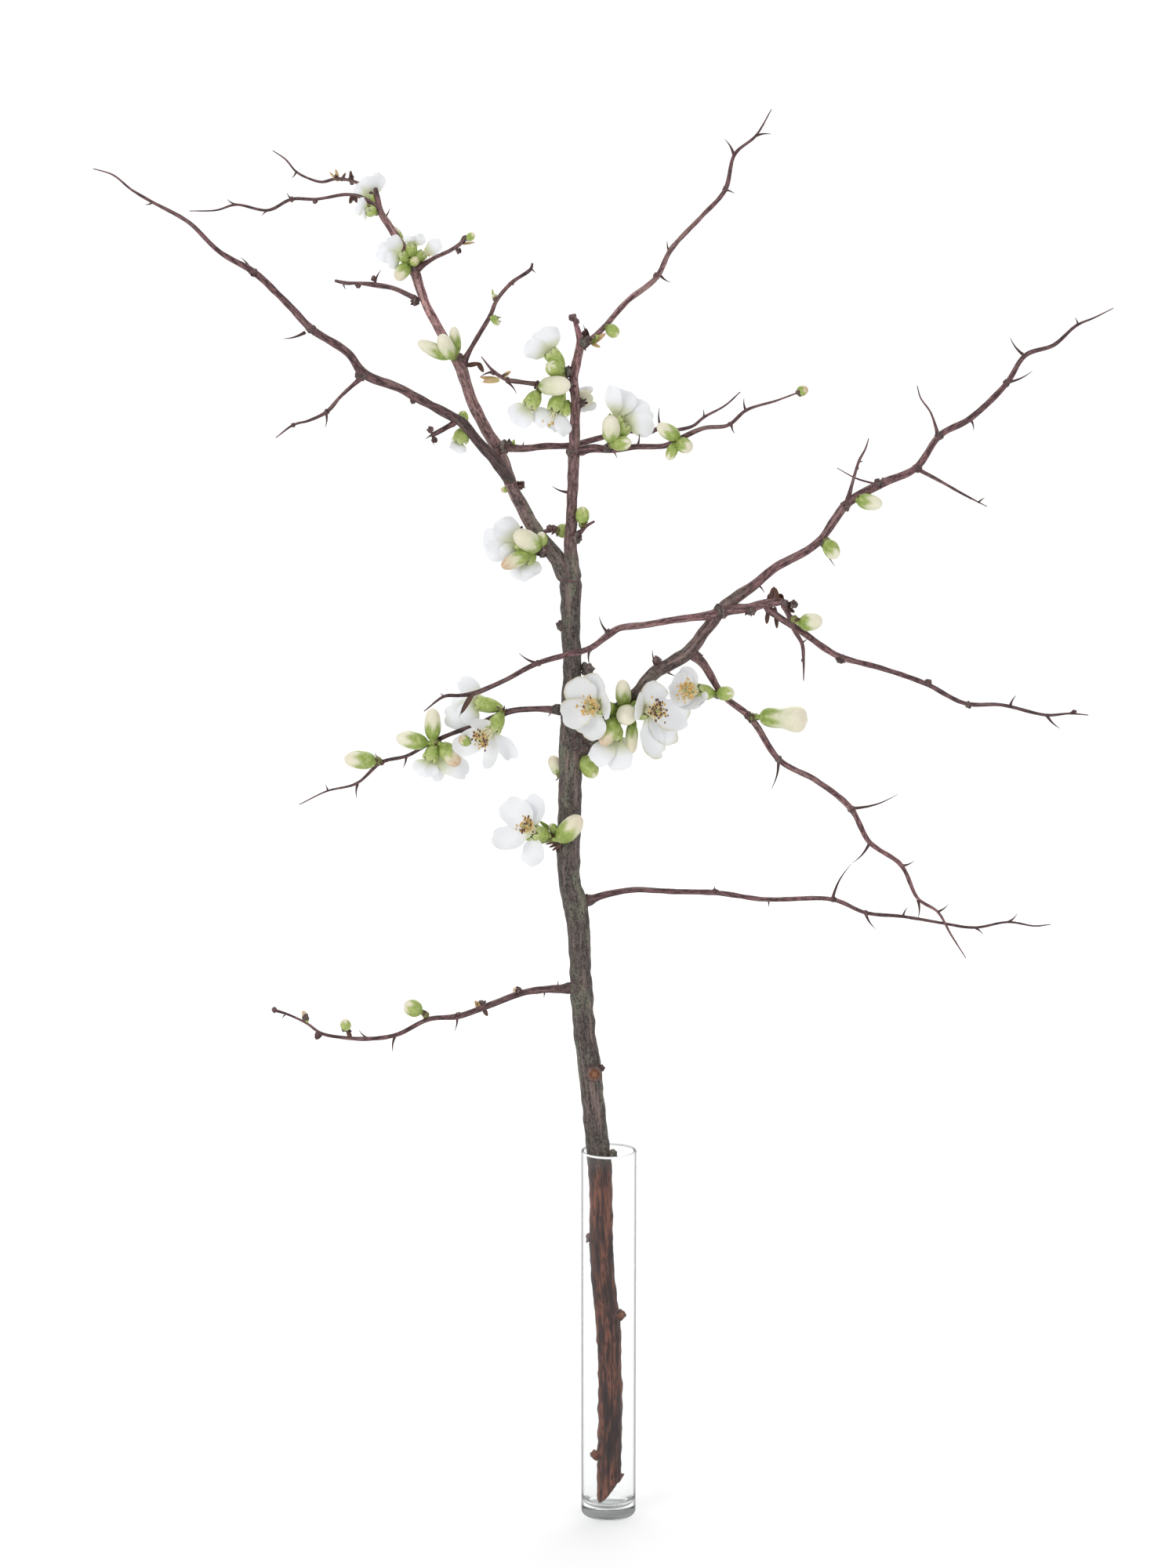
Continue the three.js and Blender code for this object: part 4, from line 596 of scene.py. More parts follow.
def knob_shape(limb, x, y, radius, offset):
    lump = ball(on_limb(limb.name, x, y, offset), radius, KNOB.rings, KNOB.sides, rough=KNOB.rough,
                grain=KNOB.grain)
    return add_wood(Shape(), *lump, radius * KNOB.girth, pale=paleness(limb, 0.5) / 2)


def scar_shape(x, y, offset, radius, facing):
    """The raised collar and sunken brown face of an old pruning cut."""
    path = (on_limb("trunk", x, y, offset)
            + np.array(SCAR.reach)[:, None] * radius * unit(np.array(facing)))
    disc = tube(path, radius * np.array(SCAR.wide), SCAR.sides, end_reach=SCAR.sunk)
    scarred = np.concatenate([np.repeat(SCAR.brown, SCAR.sides), [0, 1.0]])
    return add_wood(Shape(), *disc, SCAR.girth, scar=scarred)


def scales_shape():
    """Small dry scales on the knots of the twigs."""
    rng = np.random.default_rng(SEED)
    shape = Shape()
    for limb, (x, y, radius, offset) in ((limb, knob) for limb in LIMBS for knob in limb.knobs):
        if radius < SCALES.least_knob or not limb.on:
            continue
        centre = on_limb(limb.name, x, y, offset)
        for _ in range(SCALES.count):
            out = unit(rng.normal(size=3) - SCALES.front * Y_AXIS)
            root = centre + out * radius * SCALES.sunk
            way = unit(out + SCALES.stray * rng.normal(size=3))
            tip = root + way * SCALES.length * rng.uniform(*SCALES.vary)
            side = unit(np.cross(out, rng.normal(size=3)))
            blade, faces, _ = leaflet(root, tip, SCALES.width, side, SCALES.thick, rows=5, columns=4)
            add_wood(shape, blade, faces, 1.0, spine=0.6)
    return shape


def foot_cutter():
    """A box whose top is the slanted cut through the foot of the trunk."""
    low, high = (at(*end, FOOT_CUT.depth) for end in (FOOT_CUT.low, FOOT_CUT.high))
    along = unit((high - low) * (X_AXIS + Z_AXIS))
    axes = np.array([along, Y_AXIS, np.cross(along, Y_AXIS)])
    size = FOOT_CUT.size
    corners = [(x, y, z) for x in (-size, size) for y in (-size / 2, size / 2) for z in (-size, 0)]
    faces = [(0, 1, 3, 2), (4, 6, 7, 5), (0, 4, 5, 1), (2, 3, 7, 6), (0, 2, 6, 4), (1, 5, 7, 3)]
    return add_wood(Shape(), low + np.array(corners) @ axes, faces, 1.0, cut=1.0)


def combined(name, base, operand, operation):
    """The mesh of one solid joined with, or cut by, the solids of a collection."""
    target = linked(bpy.data.objects.new(name, base))
    group = bpy.data.collections.new(name)
    bpy.context.scene.collection.children.link(group)
    for number, mesh in enumerate(operand):
        group.objects.link(bpy.data.objects.new(f"{name}_{number}", mesh))
    boolean = target.modifiers.new(name, "BOOLEAN")
    boolean.operation = operation
    boolean.operand_type = "COLLECTION"
    boolean.collection = group
    boolean.solver = "MANIFOLD"
    graph = bpy.context.evaluated_depsgraph_get()
    result = bpy.data.meshes.new_from_object(target.evaluated_get(graph))
    for item in list(group.objects) + [target]:
        bpy.data.objects.remove(item)
    bpy.data.collections.remove(group)
    return result


def wood_mesh():
    solids = []
    for number, limb in enumerate(LIMBS):
        solids.append(limb_shape(limb, number))
        solids += [thorn_shape(limb, k, *thorn) for k, thorn in enumerate(limb.thorns)]
        solids += [knob_shape(limb, *knob) for knob in limb.knobs]
    solids += [scar_shape(*scar) for scar in SCARS]
    meshes = [solid.mesh(f"solid_{number}") for number, solid in enumerate(solids)]
    whole = combined("union", meshes[0], meshes[1:], "UNION")
    return combined("foot", whole, [foot_cutter().mesh("cutter")], "DIFFERENCE")


# ---------------------------------------------------------------- the flowers' places

Bloom = namedtuple("Bloom", "name base mouth petals aim heads dark rimmed",
                   defaults=[None, None, 0.0, 0.0])
Cluster = namedtuple("Cluster", "name on seat blooms buds cups pale", defaults=[(), (), 1.0, 0.0])

# Each cluster sits on a limb at its seat. All depths in it are measured from the limb's middle.
# blooms: base and mouth of the calyx cup, the tip and width (mm) of each petal, and the middle of
# the stamens' heads where they show. Without an aim of its own, a bloom faces its stamens' heads.
# dark: the share of its stamens whose heads are brown. rimmed: 1 where its petals' rims are yellowed.
# cups, pale: the size of the blooms' cups, as a share of the usual, and how cream they are, 0 to 1.
# buds: x, y, depth of the base, x, y, depth of the tip, width in mm, and then, each from 0 to about
# 1, how far the pale petals reach down it, how tanned their tips are, how it widens to its end.
CLUSTERS = [
    Cluster("trunk_spur", "trunk", (703, 1070, -6), blooms=[
        Bloom("trunk_spur", (701, 1067, -5), (684, 1062, -9), [(642, 1022, -6, 19), (676, 1013, 0, 17),
            (626, 1070, -10, 18), (676, 1105, -14, 18)], heads=(670, 1052, -18), dark=0.3)],
        buds=[(713, 1072, -9, 738, 1044, -17, 12.5, 0.5, 0.3),
            (709, 1064, -3, 703, 1051, -3, 5.5, 0.3, 0.1)]),
    Cluster("mid_left_pair", "branch_mid_left", (640, 907, -3), blooms=[
        Bloom("mid_left_front", (640, 909, -3), (630, 929, -7), [(600, 919, -14, 17), (653, 970, -4, 20),
            (620, 981, -12, 13), (579, 959, -4, 16)], heads=(611, 944, -17), dark=0.4),
        Bloom("mid_left_back", (640, 903, 0), (613, 897, 4), [(588, 918, 1, 15), (588, 864, 10, 16),
            (568, 921, 12, 17), (577, 893, 14, 17)], aim=(595, 905, 16))]),
    Cluster("mid_left_bunch", "branch_mid_left", (557, 947, -3), blooms=[
        Bloom("mid_left_bunch", (557, 949, -2), (549, 966, -4), [(534, 989, -8, 15), (552, 991, -9, 8),
            (598, 985, 5, 17), (565, 992, 4, 14)], aim=(546, 985, 12))],
        buds=[(552, 944, -3, 552, 906, -6, 10, 0.75, 0.1), (545, 948, -3, 508, 941, -8, 10.5, 0.5, 0),
            (564, 949, -5, 583, 974, -10, 11, 0.6, 0.9)]),
    Cluster("mid_left_bud", "branch_mid_left", (483, 971, -2),
        buds=[(480, 971, -2, 442, 968, -7, 11, 0.5, 0.1)]),
    Cluster("heart", "branch_right", (797, 908, -6), blooms=[
        Bloom("heart_left", (784, 905, -9), (765, 901, -17), [(724, 871, -20, 20), (748, 860, -15, 18),
            (777, 898, -34, 18), (747, 942, -19, 21), (715, 914, -25, 20)], heads=(750, 901, -30),
            dark=0.08, rimmed=1.0),
        Bloom("heart_right", (808, 911, -6), (822, 907, -13), [(843, 872, -9, 19), (812, 896, -30, 18),
            (881, 915, -9, 20), (842, 967, -13, 18), (864, 944, -3, 17)], heads=(841, 905, -26), dark=0.6,
            rimmed=1.0),
        Bloom("heart_low", (788, 924, -7), (784, 939, -9), [(758, 975, -14, 16), (793, 983, -13, 17),
            (776, 972, 2, 15), (806, 966, 2, 14)], aim=(785, 962, 6))],
        buds=[(796, 901, -7, 794, 869, -10, 9.5, 0.7, 0.1), (799, 908, -9, 797, 915, -24, 12.5, 1, 0.05),
            (787, 916, -11, 769, 948, -19, 10.5, 0.45, 0.7),
            (806, 921, -6, 806, 959, -9, 7.5, 0.85, 0.35)]),
    Cluster("drop_pair", "branch_drop", (914, 885, -3), blooms=[
        Bloom("drop", (911, 885, -2), (892, 882, -8), [(868, 852, -8, 13), (853, 886, -18, 16),
            (877, 905, -19, 18), (858, 866, -8, 15), (893, 899, -19, 14)], heads=(875, 879, -20))],
        buds=[(915, 885, -3, 933, 884, -9, 8.5, 0, 0)]),
    Cluster("drop_side", "branch_drop", (960, 914, -2),
        buds=[(971, 914, -3, 1025, 918, -9, 17, 1, 0.15, 1)]),
    Cluster("fork_bud", "trunk", (744, 966, -2),
        buds=[(744, 965, -2, 758, 989, -5, 10.5, 0.05, 0.1)]),
    Cluster("hidden_bud", "trunk", (714, 988, 3),
        buds=[(714, 988, 3, 704, 966, 6, 8.5, 1.3, 0.35)]),
    Cluster("leader_spur", "leader_left", (688, 700, -4), blooms=[
        Bloom("leader_spur", (684, 699, -4), (662, 693, -6), [(636, 663, -2, 17), (615, 687, -3, 17),
            (619, 706, -4, 15), (641, 713, -6, 14), (630, 674, 9, 16)], aim=(646, 690, 10)),
        Bloom("leader_low", (682, 704, -2), (673, 711, -3), [(681, 735, -4, 14), (659, 740, -2, 14),
            (668, 738, 6, 13)], aim=(668, 724, 10))],
        buds=[(688, 699, -7, 659, 681, -14, 12.5, 1, 0.15), (692, 696, -5, 690, 680, -7, 7, 0.3, 0.1),
            (676, 705, -8, 642, 722, -12, 9.5, 0.8, 0.9)]),
    Cluster("between_bud", "spur_between", (711, 676, 1),
        buds=[(711, 676, 1, 726, 678, 5, 8.5, 0, 0.1)]),
    Cluster("right_spur_bud", "spur_right", (743, 669, -1),
        buds=[(743, 668, -1, 743, 648, -3, 8, 0, 0.1)]),
    Cluster("crown", "leader_right", (717, 480, -5), blooms=[
        Bloom("crown", (718, 470, -4), (704, 452, -5), [(696, 416, -7, 16), (669, 440, -6, 15),
            (683, 424, 4, 15)], aim=(690, 430, 9)),
        Bloom("crown_low", (713, 503, -4), (708, 520, -6), [(681, 539, -8, 16), (722, 556, -6, 12),
            (700, 548, 6, 15)], aim=(702, 540, 2), heads=(700, 541, -8))],
        buds=[(714, 475, -6, 702, 466, -12, 9.5, 0, 0), (719, 512, -3, 723, 530, -5, 6, 0, 0)]),
    Cluster("crown_left", "twig_bloom_left", (689, 495, -3), blooms=[
        Bloom("crown_left", (687, 499, -3), (677, 515, -5), [(649, 532, -3, 12), (661, 545, -8, 12)],
            aim=(668, 530, 4))],
        buds=[(689, 493, -6, 724, 491, -14, 12, 1.35, 0.05)]),
    Cluster("crown_back", "leader_right", (742, 514, 4), pale=1.0, blooms=[
        Bloom("crown_back", (743, 509, 4.5), (746, 508, 9), [(744, 493, 11, 12), (751, 525, 10, 12)],
            aim=(752, 508, 22))]),
    Cluster("twig_right_pair", "twig_right", (780, 567, -4), blooms=[
        Bloom("twig_tall", (782, 556, -3), (785, 534, -4), [(782, 491, -10, 11), (800, 497, -4, 17),
            (812, 508, 4, 16)], aim=(792, 515, 8)),
        Bloom("twig_side", (788, 557, -2), (796, 544, -3), [(828, 516, -1, 18), (834, 540, -6, 16),
            (815, 520, 6, 15)], aim=(812, 535, 8))],
        buds=[(779, 563, -5, 778, 533, -13, 11, 0.9, 0.05), (780, 567, -5, 803, 564, -10, 8.5, 0.2, 0)]),
    Cluster("twig_right_buds", "twig_right", (866, 562, -3),
        buds=[(866, 559, -3, 841, 543, -8, 9, 0.5, 0.1), (864, 563, -3, 881, 572, -6, 9, 0.5, 0.2),
            (862, 565, -3, 853, 585, -6, 6.5, 0.2, 0.1)]),
    Cluster("leader_top", "leader_left", (524, 332, -4), cups=0.72, blooms=[
        Bloom("top_left", (523, 334, -3), (513, 326, -5), [(480, 319, -5, 13), (497, 301, -3, 10.5),
            (493, 335, -7, 12)], aim=(498, 322, 10)),
        Bloom("top_up", (525, 330, -3), (525, 314, -4), [(520, 300, -8, 8), (540, 300, -5, 8.5)],
            aim=(528, 300, 8)),
        Bloom("top_right", (530, 333, -2), (539, 324, -3), [(563, 308, -6, 9.5), (558, 315, 1, 8.5)],
            aim=(556, 316, 4))],
        buds=[(521, 337, -5, 507, 355, -8, 8.5, 0.6, 0.3), (527, 336, -7, 530, 331, -14, 5.5, 0, 0.3)]),
    Cluster("leader_top_bud", "leader_left", (515, 314, 3),
        buds=[(514, 313, 3, 503, 290, 4, 5, 0.4, 0)]),
    Cluster("leader_tip", "leader_left", (480, 270, 1), cups=0.75, blooms=[
        Bloom("tip_up", (479, 266, 3), (472, 252, 3), [(457, 233, 5, 13), (486, 221, 8, 10),
            (471, 224, 3, 12)], aim=(468, 238, 18)),
        Bloom("tip_left", (478, 272, -2), (471, 268, -4), [(455, 260, -7, 12), (461, 271, -6, 10)],
            aim=(458, 268, 8))]),
    Cluster("leader_buds", "leader_left", (579, 456, -4),
        buds=[(573, 456, -4, 535, 437, -8, 8.5, 0.75, 0), (577, 457, -6, 563, 429, -12, 9.5, 1, 0),
            (582, 452, -2, 579, 418, -1, 7, 0.6, 0)]),
    Cluster("arch_back", "arch_left", (592, 544, 4), blooms=[
        Bloom("arch_back", (592, 546, 4), (588, 559, 5), [(582, 577, 1, 11), (577, 569, 7, 10)],
            aim=(582, 575, 14))],
        buds=[(592, 541, 4, 590, 525, 5, 6, 0, 0)]),
    Cluster("right_bud", "branch_right", (1094, 637, -2),
        buds=[(1093, 637, -2, 1123, 643, -7, 9.5, 0.7, 0)]),
    Cluster("right_low_bud", "branch_right", (1054, 690, -3),
        buds=[(1054, 690, -3, 1066, 710, -7, 9.5, 0.4, 0)]),
    Cluster("hang_bud", "twig_hang", (1013, 790, -2),
        buds=[(1020, 796, -3, 1046, 791, -5, 10.8, 0.85, 0)]),
    Cluster("low_left_bud", "branch_low_left", (543, 1294, -2),
        buds=[(537, 1291, -3, 518, 1281, -5, 10, 0.3, 0.1)]),
    Cluster("north_east_bud", "ne_branch", (775, 417, -2),
        buds=[(775, 416, -2, 787, 427, -4, 7.5, 0, 0)]),
]


def place(cluster, spot):
    x, y, depth = spot
    return at(x, y, depth_on(cluster.on, *cluster.seat[:2]) + depth)


# ---------------------------------------------------------------- the green cups and buds

CALYX = Sizes(stalk=1.6, mouth=4.7, bulge=1.1, belly=0.8, ribs=0.16, rings=12, sides=30,
              root=0.8)     # how far its stalk runs into it, mm
SEPALS = Sizes(count=5, length=5.6, width=6.6, sunk=2.0, inset=0.6, rise=0.9, lean=-0.05,
               thick=0.5, cup=0.16, point=0.7)
BUD = Sizes(rings=22, sides=26, foot=0.035, round_end=0.25, blunt=2.3, least=0.25, bend=0.05,
            root=0.6, phase=1.3, cap=0.4)
# The green cup of a bud: where it ends on a green and on a bare one, how blurred its end is, its
# points and how thick it is. Then the seams of the rolled petals above it.
CUP = Sizes(ends=(0.96, 0.34), blur=(-0.14, 0.12), points=5, point=0.11, skin=0.04)
SEAMS = Sizes(count=3, twist=5.5, height=0.022, sharp=0.6)
STALK = Sizes(radius=1.6, knot=2.4, reach=1.8, rings=6, sides=10)
BRACTS = Sizes(count=9, length=3.6, width=2.2, thick=0.25, out=1.2, away=0.9, lean=0.5, tilt=0.3,
               vary=(0.6, 1.1))


def add_stalk(shape, seat, base, end, ripe):
    """A stalk from the cluster's knot to the end, where the base isn't on the knot itself."""
    if np.linalg.norm(seat - base) > STALK.reach:
        path = seat + np.linspace(0, 1, STALK.rings)[:, None] * (end - seat)
        shape.add(*tube(path, np.full(STALK.rings, STALK.radius), STALK.sides), ripe=ripe)


def add_calyx(shape, seat, base, mouth, number, pale, size):
    """The cup under a bloom: a stalk, a five-ribbed bell and five rounded sepals."""
    axis = unit(mouth - base)
    add_stalk(shape, seat, base, base + axis * CALYX.root, 0.55)
    u, angles, wide = np.linspace(0, 1, CALYX.rings), turns(CALYX.sides), size * CALYX.mouth
    radii = CALYX.stalk + (wide - CALYX.stalk) * smooth(-0.15, 1.0, u) ** CALYX.belly
    radii = radii + size * CALYX.bulge * np.sin(np.pi * u ** CALYX.belly)
    ribs = CALYX.ribs * np.cos(SEPALS.count * angles + number)[None, :] * u[:, None]
    bell = tube(base + u[:, None] * (mouth - base), radii, CALYX.sides, ribs, end_reach=-CAP)
    ripe = np.concatenate([np.repeat(0.35 + 0.4 * u, CALYX.sides), [0.35, 0.9]])
    shape.add(*bell, ripe=ripe, cream=0.8 * pale)
    across, over = frames([axis])[0]
    for k in range(SEPALS.count):
        angle = 2 * math.pi * (k + 0.5) / SEPALS.count + number
        out = math.cos(angle) * across + math.sin(angle) * over
        root = mouth - axis * SEPALS.sunk + out * (wide - SEPALS.inset)
        tip = root + size * SEPALS.length * (SEPALS.rise * axis + SEPALS.lean * out)
        blade, faces, u_all = leaflet(root, tip, size * SEPALS.width, -out, SEPALS.thick,
                                      SEPALS.cup, point=SEPALS.point)
        shape.add(blade, faces, ripe=0.6 + 0.3 * u_all, cream=0.8 * pale + 0.2 * u_all)


def add_bud(shape, seat, base, tip, width, number, bared=0.5, tanned=0.0, flared=0.0):
    """A closed bud: a green cup with five points, and the rolled petals' blunt end."""
    axis = unit(tip - base)
    add_stalk(shape, seat, base, base + axis * BUD.root, 0.5)
    length = np.linalg.norm(tip - base) + BUD.round_end * width / 2
    u = ((1 - np.cos(np.linspace(0, math.pi, BUD.rings + 1)[:-1])) / 2)[:, None]
    part = np.abs(2 * (BUD.foot + (1 - BUD.foot) * u) - 1) ** (BUD.blunt + 4 * flared)
    fullness = np.sqrt(np.clip(1 - part, 0, 1)) * (1 - 0.3 * flared * (1 - smooth(0.35, 0.85, u)))
    radii = np.maximum(fullness * width / 2, BUD.least)[:, 0]
    angles, phase = turns(BUD.sides), number * BUD.phase
    cup_end = mix(*CUP.ends, bared) + CUP.point * np.cos(CUP.points * angles + phase)
    green = 1 - smooth(*CUP.blur, u - cup_end)
    seam = np.abs(np.cos(SEAMS.count * angles + SEAMS.twist * u + phase))
    relief = width * (CUP.skin * green * smooth(0.02, 0.3, u)
                      + SEAMS.height * seam ** SEAMS.sharp * (1 - green) * smooth(0.3, 0.6, u))
    bend = BUD.bend * width * np.sin(np.pi * u) * math.cos(phase) * frames([axis])[0][0]
    skin = tube(base + u * length * axis + bend, radii, BUD.sides, relief, end_reach=BUD.cap)

    def each(values, foot, end):
        return np.concatenate([np.broadcast_to(values, green.shape).ravel(), [foot, end]])

    shape.add(*skin, cream=each((1 - green) * (0.45 + 0.55 * u), 0, 1),
              ripe=each(0.25 + 0.6 * u, 0.2, 0.9),
              tan=each(tanned * smooth(0.45, 1.0, u) * (0.6 + 0.4 * seam), 0, tanned))


def add_bracts(shape, seat, away, rng):
    """Small brown scales around the foot of a cluster."""
    for _ in range(BRACTS.count):
        out = unit(rng.normal(size=3) + away * BRACTS.away)
        root = seat + out * BRACTS.out
        way = unit(out + away * BRACTS.lean)
        tip = root + way * BRACTS.length * rng.uniform(*BRACTS.vary)
        blade, faces, _ = leaflet(root, tip, BRACTS.width, away - out * BRACTS.tilt, BRACTS.thick)
        shape.add(blade, faces, dry=1.0)


def greens_shape(cluster, number):
    rng = np.random.default_rng(SEED + number)
    shape = Shape()
    seat = place(cluster, cluster.seat)
    ends = []
    for k, bloom in enumerate(cluster.blooms):
        base, mouth = place(cluster, bloom.base), place(cluster, bloom.mouth)
        add_calyx(shape, seat, base, mouth, k, cluster.pale, cluster.cups)
        ends.append(mouth)
    for k, (x0, y0, d0, x1, y1, d1, width, *looks) in enumerate(cluster.buds):
        base, tip = place(cluster, (x0, y0, d0)), place(cluster, (x1, y1, d1))
        add_bud(shape, seat, base, tip, width, k + number, *looks)
        ends.append(tip)
    shape.add(*ball(seat, STALK.knot, rough=0.3), ripe=0.3, dry=0.6)
    add_bracts(shape, seat, unit(np.mean(ends, axis=0) - seat), rng)
    return shape


# ---------------------------------------------------------------- the petals

PETAL = Sizes(thick=0.36, claw=1.26, rings=9, sides=44, crowd=0.85, squareness=0.85, swell=0.78,
              waist=(-1.0, -0.45),      # where its narrow root ends, from its foot at -1
              cup=0.14, cup_back=1.5,   # how deep, and how far out it is deepest
              roll=0.2, roll_end=1.45, wave=0.6, waves=3, turn=1.9,
              frill=0.5, frills=4, frilled=(0.2, 0.7), notch=0.2, notch_width=0.2,
              ripples=((5, 0.022), (9, 0.016)))      # how many round the rim, how high
OPEN = Sizes(waist=0.42, heart=0.3)         # how narrow a petal's root is, how far the green reaches
CLOSED = Sizes(waist=0.72, heart=0.6)
HUB = Sizes(radius=2.1, lift=1.05, sunk=0.4)


def squared(values):
    """Carries a circle's coordinates a little towards a square's."""
    return np.sign(values) * np.abs(values) ** PETAL.squareness


def add_petal(shape, hub, axis, tip, width, number, form, rimmed, rng):
    """One petal: a cupped round blade with a narrow claw, its rim waved and a little notched."""
    along = unit(tip - hub)
    lift = along.dot(axis)
    inner = unit(axis * math.sqrt(max(0, 1 - lift * lift)) - unit(along - axis * lift) * lift)
    root = hub + along * PETAL.claw
    length = np.linalg.norm(tip - root)
    rings, sides = PETAL.rings, PETAL.sides
    turn = turns(sides)
    notch_at, notch_deep = rng.uniform(-0.5, 0.5), rng.uniform(0.0, PETAL.notch)
    phases = rng.uniform(0, 2 * np.pi, 3)
    angle = (turn + np.pi) % (2 * np.pi) - np.pi
    rim = 1 - notch_deep * np.exp(-((angle - notch_at) / PETAL.notch_width) ** 2)
    for (count, height), phase in zip(PETAL.ripples, phases):
        rim = rim + height * np.sin(count * turn + phase)
    ring = np.linspace(0, 1, rings + 1)[1:] ** PETAL.crowd
    reach = ring[:, None] * (1 + (rim[None, :] - 1) * ring[:, None] ** 3)
    x, y = (np.append((reach * squared(way(turn))).ravel(), 0) for way in (np.sin, np.cos))
    ring_all = np.append(np.repeat(ring, sides), 0)
    u = np.clip((y + 1) / 2, 0, 1.05) ** PETAL.swell
    waist = mix(form.waist, 1, smooth(*PETAL.waist, y))
    cup = -PETAL.cup * length * np.sin(np.pi * np.clip(u, 0, 1) ** PETAL.cup_back)
    roll = PETAL.roll * width * x ** 2 * u * (PETAL.roll_end - u)
    wave = PETAL.wave * u ** 2 * np.sin(PETAL.waves * x + number * PETAL.turn)
    frill = ring_all ** 3 * np.sin(PETAL.frills * np.arctan2(x, y) + phases[2])
    wave = wave + PETAL.frill * frill * smooth(*PETAL.frilled, u)
    middle = (root + (u * length)[:, None] * along
              + (x * waist * width / 2)[:, None] * np.cross(along, inner)
              + (cup + roll + wave)[:, None] * inner)
    half = (PETAL.thick / 2 * (1 - ring_all ** 4))[:, None] * inner
    a = np.arange((rings - 1) * sides).reshape(-1, sides)
    b = np.roll(a, -1, axis=1)
    quads = np.stack([a, a + sides, b + sides, b], -1).reshape(-1, 4)
    fan = np.stack([a[0], b[0], np.full(sides, rings * sides)], -1)
    shape.add(np.concatenate([middle + half, middle - half]),
              two_sided(quads, len(x)) + two_sided(fan, len(x)),
              rim=rimmed * np.tile(ring_all ** 10, 2),
              heart=np.tile(1 - smooth(0.0, form.heart, u), 2))


def facing(cluster, bloom):
    """The way an open bloom faces."""
    return unit(place(cluster, bloom.aim or bloom.heads) - place(cluster, bloom.mouth))


def petals_shape(cluster, bloom, number):
    rng = np.random.default_rng(SEED + 100 + number)
    axis = facing(cluster, bloom)
    hub = place(cluster, bloom.mouth) + axis * HUB.lift
    shape = Shape()
    shape.add(*ball(hub - axis * HUB.sunk, HUB.radius), heart=1.0)
    for k, (*tip, width) in enumerate(bloom.petals):
        add_petal(shape, hub, axis, place(cluster, tip), width, k, OPEN if bloom.heads else CLOSED,
                  bloom.rimmed, rng)
    return shape


# ---------------------------------------------------------------- the stamens

STAMENS = Sizes(count=54, hidden=12, spread=0.42, filament=0.26, anther=0.6, short=3.0, least=6.0,
                foot=1.5, rings=6, sides=5, tall=1.45, straight=0.55, above=0.2)
VARY = Sizes(angle=(-0.2, 0.2), spread=(0.5, 1.25), length=(0.8, 1.12), anther=(0.8, 1.2))
STYLES = Sizes(count=5, spread=0.12, foot=0.3, longer=1.05, thicker=1.2, head=0.7)


def stamens_shape(cluster, bloom, number):
    """Curved filaments with heads, fanned around the bloom's axis, and greener styles between."""
    rng = np.random.default_rng(SEED + 300 + number)
    mouth = place(cluster, bloom.mouth)
    if bloom.heads:
        heads = place(cluster, bloom.heads)
        axis = unit(heads - mouth)
        reach = max(np.linalg.norm(heads - mouth) - HUB.lift, STAMENS.least)
    else:
        axis = facing(cluster, bloom)
        reach = STAMENS.short
    across, over = frames([axis])[0]
    shape = Shape()
    count = STAMENS.count if bloom.heads and not bloom.aim else STAMENS.hidden
    for k in range(count + STYLES.count):
        style = k >= count
        angle = k * GOLDEN_ANGLE + rng.uniform(*VARY.angle)
        spread = STYLES.spread if style else STAMENS.spread * math.sqrt((k + 0.5) / count)
        spread *= rng.uniform(*VARY.spread)
        out = math.cos(angle) * across + math.sin(angle) * over
        length = reach * rng.uniform(*VARY.length) * (STYLES.longer if style else 1)
        t = np.linspace(0, 1, STAMENS.rings)[:, None]
        path = (mouth + axis * HUB.lift + out * STAMENS.foot * (STYLES.foot if style else 1.0)
                + axis * length * t * math.cos(spread)
                + out * length * math.sin(spread) * mix(t ** 2, t, STAMENS.straight))
        radius = STAMENS.filament * (STYLES.thicker if style else 1.0)
        shape.add(*tube(path, np.full(STAMENS.rings, radius), STAMENS.sides), style=float(style))
        size = STAMENS.anther * (STYLES.head if style else rng.uniform(*VARY.anther))
        head = ball(path[-1] + axis * STAMENS.above, size, rings=5, sides=8, tall=STAMENS.tall,
                    rough=0.25)
        shape.add(*head, head=float(not style), style=float(style),
                  dark=float(rng.uniform() < bloom.dark))
    return shape


# ---------------------------------------------------------------- small growths on the twigs

